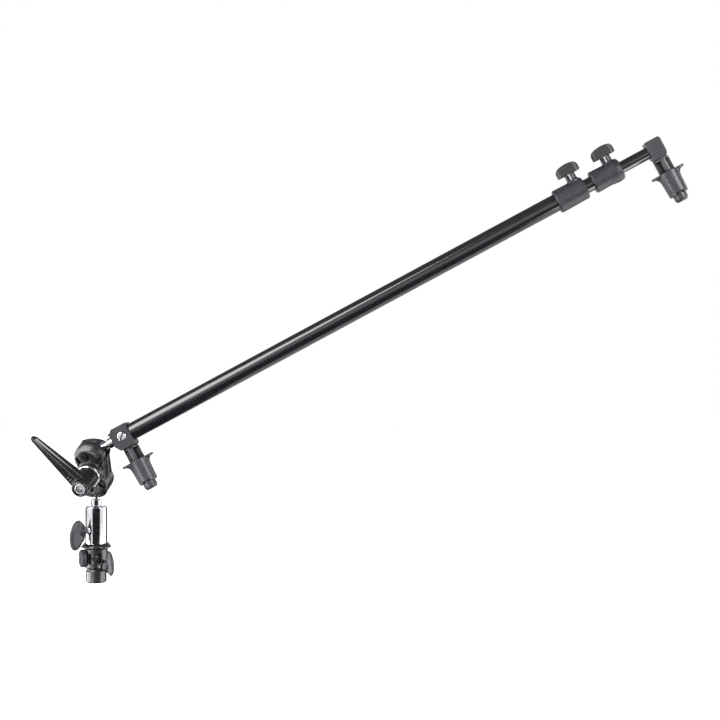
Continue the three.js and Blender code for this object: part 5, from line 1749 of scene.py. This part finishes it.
@dataclass
class ReflectorClip:
    """Sprung sleeve on a post: it is pulled up by its wings and closes on the reflector's rim."""

    side: str
    body: str
    grip: str
    place: float
    drop: float
    post_radius: float = 10.25
    rib: float = 6.6
    foot: float = 2.5
    fillet: float = 2.0
    shoulder: float = 24.0
    core: float = 3.6
    sleeve_start: float = 18.5
    sleeve_end: float = 50.3
    sleeve_top_radius: float = 13.4
    sleeve_end_radius: float = 12.3
    bore: float = 10.6
    ledge_face: float = 47.3
    ledge: float = 3.0
    skirt_bore: float = 9.8
    throat: float = 10.0
    wing_span: float = 43.5
    wing_width: float = 16.0
    wing_thickness: float = 3.0
    gusset: float = 6.5
    gusset_thickness: float = 5.0
    head_seat: float = 47.6
    head_end: float = 59.3
    head_radius: float = 8.7
    head_end_radius: float = 5.2
    head_dome: float = 4.5
    head_undercut: float = 1.4
    head_lip: float = 1.0
    head_ease: float = 0.25
    head_edge: float = 0.3
    head_bore_depth: float = 4.8
    core_grip: float = 4.5
    foot_rounding: float = 0.6
    cap_edge: float = 0.4
    sleeve_edge: float = 1.0
    wing_edge: float = 0.5
    throat_depth: float = 6.0
    spring_setback: float = 0.95
    cell: float = 0.42
    passes: int = 4

    def post(self) -> Mesh:
        """Return the ribbed post with its core and tenon."""
        length = self.shoulder - self.foot - CLEARANCE
        ribs = [moved(block(2 * self.post_radius, self.rib, length),
                      shift(z=CLEARANCE + self.foot + length / 2), spin("Z", quarter_turn))
                for quarter_turn in (0, 90)]
        ribbed = common(join(*ribs), disc(self.post_radius, CLEARANCE, self.shoulder, FINE))
        foot = turned(rounded([
            (0, CLEARANCE), (self.post_radius, CLEARANCE), (self.post_radius, CLEARANCE + self.foot),
            (self.rib / 2 + self.fillet, CLEARANCE + self.foot + self.fillet),
            (0, CLEARANCE + self.foot + self.fillet)], self.foot_rounding, closed=False), FINE)
        cap = disc(self.post_radius, self.shoulder - self.foot, self.shoulder, FINE, self.cap_edge)
        core = disc(self.core, self.shoulder - self.foot, self.head_seat + self.core_grip, SMALL)
        tenon = disc(TENON_RADIUS, -TENON_LENGTH, CLEARANCE + self.foot, SMALL)
        return join(ribbed, foot, cap, core, tenon)

    def sleeve(self) -> Mesh:
        """Return the sleeve with its wings, gussets and throat."""
        top, end = self.sleeve_start, self.sleeve_end
        body = turned([(0, top), (self.sleeve_top_radius, top), (self.sleeve_top_radius, top + self.gusset),
                       (self.sleeve_end_radius, end - self.sleeve_edge),
                       (self.sleeve_end_radius - self.sleeve_edge, end), (0, end)], FINE)
        plan = oblong(self.wing_span / 2, self.wing_width / 2)
        wings = moved(prism(plan, self.wing_thickness, self.wing_edge),
                      shift(z=top + self.wing_thickness / 2))
        outer = self.sleeve_top_radius + self.gusset
        fall = [(self.bore, top + self.wing_thickness / 2), (outer, top + self.wing_thickness / 2),
                *arc((outer, top + self.wing_thickness + self.gusset), self.gusset, -90, -180, 14),
                (self.bore, top + self.wing_thickness + self.gusset)]
        gussets = [moved(upright_side(prism(fall, self.gusset_thickness)), spin("Z", half_turn))
                   for half_turn in (0, 180)]
        throat = moved(block(self.throat, 4 * self.sleeve_top_radius, self.throat_depth), shift(z=end))
        soft = cast(cut(join(body, wings, *gussets), throat), self.cell, self.passes)
        bore = disc(self.bore, top - OVERRUN, self.ledge_face - self.ledge, FINE)
        core = disc(self.core + CLEARANCE, top, end + OVERRUN, SMALL)
        skirt = disc(self.skirt_bore, self.ledge_face, end + OVERRUN, FINE)
        return cut(soft, bore, core, skirt)

    def head(self) -> Mesh:
        """Return the domed head that the sleeve closes on."""
        radius, seat = self.head_radius, self.head_seat
        middle = self.head_end - self.head_dome
        lip = radius - self.head_undercut
        body = turned([(0, seat + self.head_lip), (lip, seat + self.head_lip), (lip + self.head_ease, seat),
                       (radius - self.head_ease, seat), (radius, seat + self.head_edge), (radius, middle),
                       *quarter(radius, middle, self.head_end_radius, self.head_end, 10),
                       (0, self.head_end)], FINE)
        bore = disc(self.core + CLEARANCE, seat - OVERRUN, seat + self.head_bore_depth, SMALL)
        return cut(body, bore)

    def build(self) -> None:
        """Make and place the post, sleeve, spring and head."""
        frame_here = ARM @ shift(self.place, 0, -self.drop) @ spin("X", 180)
        side = self.side
        dress(f"{side}_post", self.body, f"{side}_clip_post", RIBBED_NYLON,
              self.post(), frame_here)
        dress(f"{side}_sleeve", self.grip, f"{side}_clip_sleeve", SMOOTH_NYLON,
              self.sleeve(), frame_here)
        ledge = self.ledge_face - self.ledge
        spring = dress(f"{side}_spring", self.body, f"{side}_clip_spring", SPRING_WIRE,
                       return_coil(self.shoulder, ledge, self.spring_setback), frame_here)
        squeeze(spring)
        dress(f"{side}_head", self.body, f"{side}_clip_head", SMOOTH_NYLON,
              self.head(), frame_here)


# Studio


@dataclass
class Studio:
    """Pale floor, white surroundings, soft lamps and the camera, in metres."""

    floor_height: float = -0.42
    floor_size: float = 24.0
    shadow_reach: float = 1.6
    shadow_level: float = 0.3
    camera_place: tuple[float, float, float] = (0.337, -1.789, 0.2837)
    lens: float = 70.0
    sensor: float = 36.0
    plain_level: float = 0.55
    ceiling_level: float = 0.2
    wall_rises: tuple[float, float] = (0.15, 0.5)
    paper_grain: float = 400.0
    paper_relief: float = 0.00005
    paper_roughness: float = 0.9
    sight: float = 60.0

    def floor(self) -> None:
        """Lay a pale floor that keeps the object's shadow."""
        mesh = bpy.data.meshes.new("studio_floor")
        half = self.floor_size / 2
        mesh.from_pydata([(-half, -half, 0), (half, -half, 0), (half, half, 0), (-half, half, 0)],
                         [], [(0, 1, 2, 3)])
        mesh.transform(shift(z=self.floor_height))
        material = bpy.data.materials.new("white_paper")
        material.use_nodes = True
        tree = material.node_tree
        tree.nodes.clear()
        grain = add_node(tree, "ShaderNodeTexNoise", {"Scale": self.paper_grain, "Detail": 2.0},
                         {"Vector": add_node(tree, "ShaderNodeTexCoord").outputs["Object"]})
        bump = add_node(tree, "ShaderNodeBump", {"Distance": self.paper_relief},
                        {"Height": grain.outputs["Fac"]})
        paper = add_node(tree, "ShaderNodeBsdfPrincipled",
                         {"Base Color": linear("F4F4F4"), "Roughness": self.paper_roughness},
                         {"Normal": bump.outputs["Normal"]})
        place = add_node(tree, "ShaderNodeTexCoord").outputs["Object"]
        reach = add_node(tree, "ShaderNodeVectorMath", links={0: place}, operation="LENGTH")
        level = add_node(tree, "ShaderNodeMapRange", {
            "From Min": self.shadow_reach, "From Max": 2 * self.shadow_reach, "To Min": self.shadow_level,
            "To Max": 1.0}, {"Value": reach.outputs["Value"]})
        white = add_node(tree, "ShaderNodeEmission", {"Color": linear("FFFFFF"), "Strength": 1.0})
        glow = add_node(tree, "ShaderNodeEmission", {"Color": linear("FFFFFF")},
                        {"Strength": level.outputs["Result"]})
        both = add_node(tree, "ShaderNodeAddShader",
                        links={0: paper.outputs["BSDF"], 1: glow.outputs["Emission"]})
        seen = add_node(tree, "ShaderNodeLightPath")
        mirrored = add_node(tree, "ShaderNodeMixShader", links={
            0: seen.outputs["Is Glossy Ray"], 1: paper.outputs["BSDF"], 2: white.outputs["Emission"]})
        plain = add_node(tree, "ShaderNodeMixShader", links={
            0: seen.outputs["Is Camera Ray"], 1: mirrored.outputs["Shader"], 2: both.outputs["Shader"]})
        add_node(tree, "ShaderNodeOutputMaterial", links={"Surface": plain.outputs["Shader"]})
        mesh.materials.append(material)
        floor = bpy.data.objects.new("studio_floor", mesh)
        bpy.context.scene.collection.objects.link(floor)

    def surroundings(self) -> None:
        """Set a white room that metal also reflects, and a lower level for plain light."""
        world = bpy.data.worlds.new("white_room")
        bpy.context.scene.world = world
        world.use_nodes = True
        tree = world.node_tree
        tree.nodes.clear()
        seen = add_node(tree, "ShaderNodeLightPath")
        way = add_node(tree, "ShaderNodeTexCoord").outputs["Generated"]
        rise = add_node(tree, "ShaderNodeSeparateXYZ", links={"Vector": way}).outputs["Z"]
        walls = add_node(tree, "ShaderNodeMapRange", {
            "From Min": self.wall_rises[0], "From Max": self.wall_rises[1],
            "To Min": 1.0, "To Max": self.ceiling_level}, {"Value": rise})
        plain = add_node(tree, "ShaderNodeBackground",
                         {"Color": linear("FFFFFF"), "Strength": self.plain_level})
        white = add_node(tree, "ShaderNodeBackground", {"Color": linear("FFFFFF"), "Strength": 1.0})
        room = add_node(tree, "ShaderNodeBackground", {"Color": linear("FFFFFF")},
                        {"Strength": walls.outputs["Result"]})
        bright = add_node(tree, "ShaderNodeMixShader", links={
            0: seen.outputs["Is Glossy Ray"], 1: plain.outputs["Background"], 2: room.outputs["Background"]})
        shown = add_node(tree, "ShaderNodeMath", None, {
            0: seen.outputs["Is Camera Ray"], 1: seen.outputs["Is Transmission Ray"]},
            operation="MAXIMUM")
        mix = add_node(tree, "ShaderNodeMixShader", links={
            0: shown.outputs["Value"], 1: bright.outputs["Shader"], 2: white.outputs["Background"]})
        add_node(tree, "ShaderNodeOutputWorld", links={"Surface": mix.outputs["Shader"]})

    def flag(self, name: str, centre: Sequence[float], width: float, height: float, target: Sequence[float],
             shade: str) -> None:
        """Stand a dark card that only shows in bright surfaces.

        Args:
            name: Name of the card.
            centre: Its middle.
            width: Its width.
            height: Its height.
            target: Point that it faces.
            shade: Its colour.
        """
        mesh = bpy.data.meshes.new(name)
        mesh.from_pydata([(-width / 2, -height / 2, 0), (width / 2, -height / 2, 0),
                          (width / 2, height / 2, 0), (-width / 2, height / 2, 0)], [], [(0, 1, 2, 3)])
        facing = (Vector(target) - Vector(centre)).to_track_quat("Z", "Y").to_matrix().to_4x4()
        mesh.transform(Matrix.Translation(centre) @ facing)
        material = bpy.data.materials.new(name)
        material.use_nodes = True
        shader = material.node_tree.nodes["Principled BSDF"]
        shader.inputs["Base Color"].default_value = linear(shade)
        shader.inputs["Roughness"].default_value = 1.0
        mesh.materials.append(material)
        card = bpy.data.objects.new(name, mesh)
        bpy.context.scene.collection.objects.link(card)
        card.visible_camera = False
        card.visible_diffuse = False
        card.visible_shadow = False

    def lamp(self, name: str, place: Sequence[float], target: Sequence[float], width: float, height: float,
             watts: float) -> None:
        """Hang one soft box.

        Args:
            name: Name of the lamp.
            place: Where it hangs.
            target: Point that it faces.
            width: Its width.
            height: Its height.
            watts: Its power.
        """
        data = bpy.data.lights.new(name, "AREA")
        data.shape = "RECTANGLE"
        data.size, data.size_y = width, height
        data.energy = watts
        lamp = bpy.data.objects.new(name, data)
        lamp.visible_camera = False
        lamp.location = place
        lamp.rotation_euler = (Vector(target) - Vector(place)).to_track_quat("-Z", "Y").to_euler()
        bpy.context.scene.collection.objects.link(lamp)

    def camera(self) -> None:
        """Set the camera level, at the photograph's viewing angle."""
        data = bpy.data.cameras.new("view")
        data.lens = self.lens
        data.sensor_width = self.sensor
        data.clip_end = self.sight
        camera = bpy.data.objects.new("view", data)
        camera.location = self.camera_place
        camera.rotation_euler = Euler((math.pi / 2, 0, 0))
        bpy.context.scene.collection.objects.link(camera)
        bpy.context.scene.camera = camera

    def build(self) -> None:
        """Set up floor, room, cards, lamps and camera."""
        self.floor()
        self.surroundings()
        aim = (0.35, 0.0, 0.3)
        self.flag("dark_card_front", (0.84, -2.4, -0.2), 4.4, 0.36, (0.84, 0, 0.08), "050506")
        self.flag("dark_card_left", (-1.7, 1.45, -0.15), 1.7, 0.6, (0, 0, 0.08), "050506")
        self.flag("dark_card_back", (1.0, 1.95, -0.15), 1.7, 0.6, (0, 0, 0.08), "050506")
        self.flag("dark_card_below", (0.8, -1.2, -0.41), 2.0, 2.0, (0.8, -1.2, 0.4), "101012")
        self.flag("dark_card_lever", (-0.2, 0.05, -0.41), 1.2, 0.9, (-0.2, 0.05, 0.4), "050506")
        self.lamp("key_box", (-1.0, -1.3, 1.3), (0.1, 0, 0.2), 1.3, 1.3, 34)
        self.lamp("left_box", (-1.9, -0.8, 0.6), aim, 1.2, 1.4, 22)
        self.lamp("right_box", (2.3, 0.75, 0.35), aim, 1.2, 1.8, 20)
        self.lamp("right_key", (1.7, -1.25, 1.1), (0.6, 0, 0.4), 0.7, 1.1, 30)
        self.lamp("low_box", (-1.2, -0.1, -0.35), (0.6, 0, 0.45), 1.6, 0.5, 20)
        self.lamp("low_right_box", (1.25, -0.25, -0.35), (0, 0, 0.17), 0.9, 0.5, 6)
        self.lamp("crest_strip", (-0.42, -0.7, -0.38), (0, 0, 0.17), 0.3, 0.4, 7)
        self.camera()
        bpy.context.scene.view_settings.view_transform = "Standard"


def main() -> None:
    """Build every sub-assembly and the studio."""
    logging.basicConfig(level=logging.INFO, format="%(message)s")
    StandAdapter().build()
    StudSocket().build()
    BallClamp().build()
    RatchetLever().build()
    BaseBlock().build()
    SlidingTubes().build()
    near_collar().build("arm")
    far_collar().build("middle")
    EndElbow().build()
    ReflectorClip("near", "arm", "near_grip", NEAR_CLIP, BaseBlock.bottom).build()
    ReflectorClip("far", "end", "far_grip", FAR_CLIP, EndElbow.bottom).build()
    Studio().build()


if __name__ == "__main__":
    main()
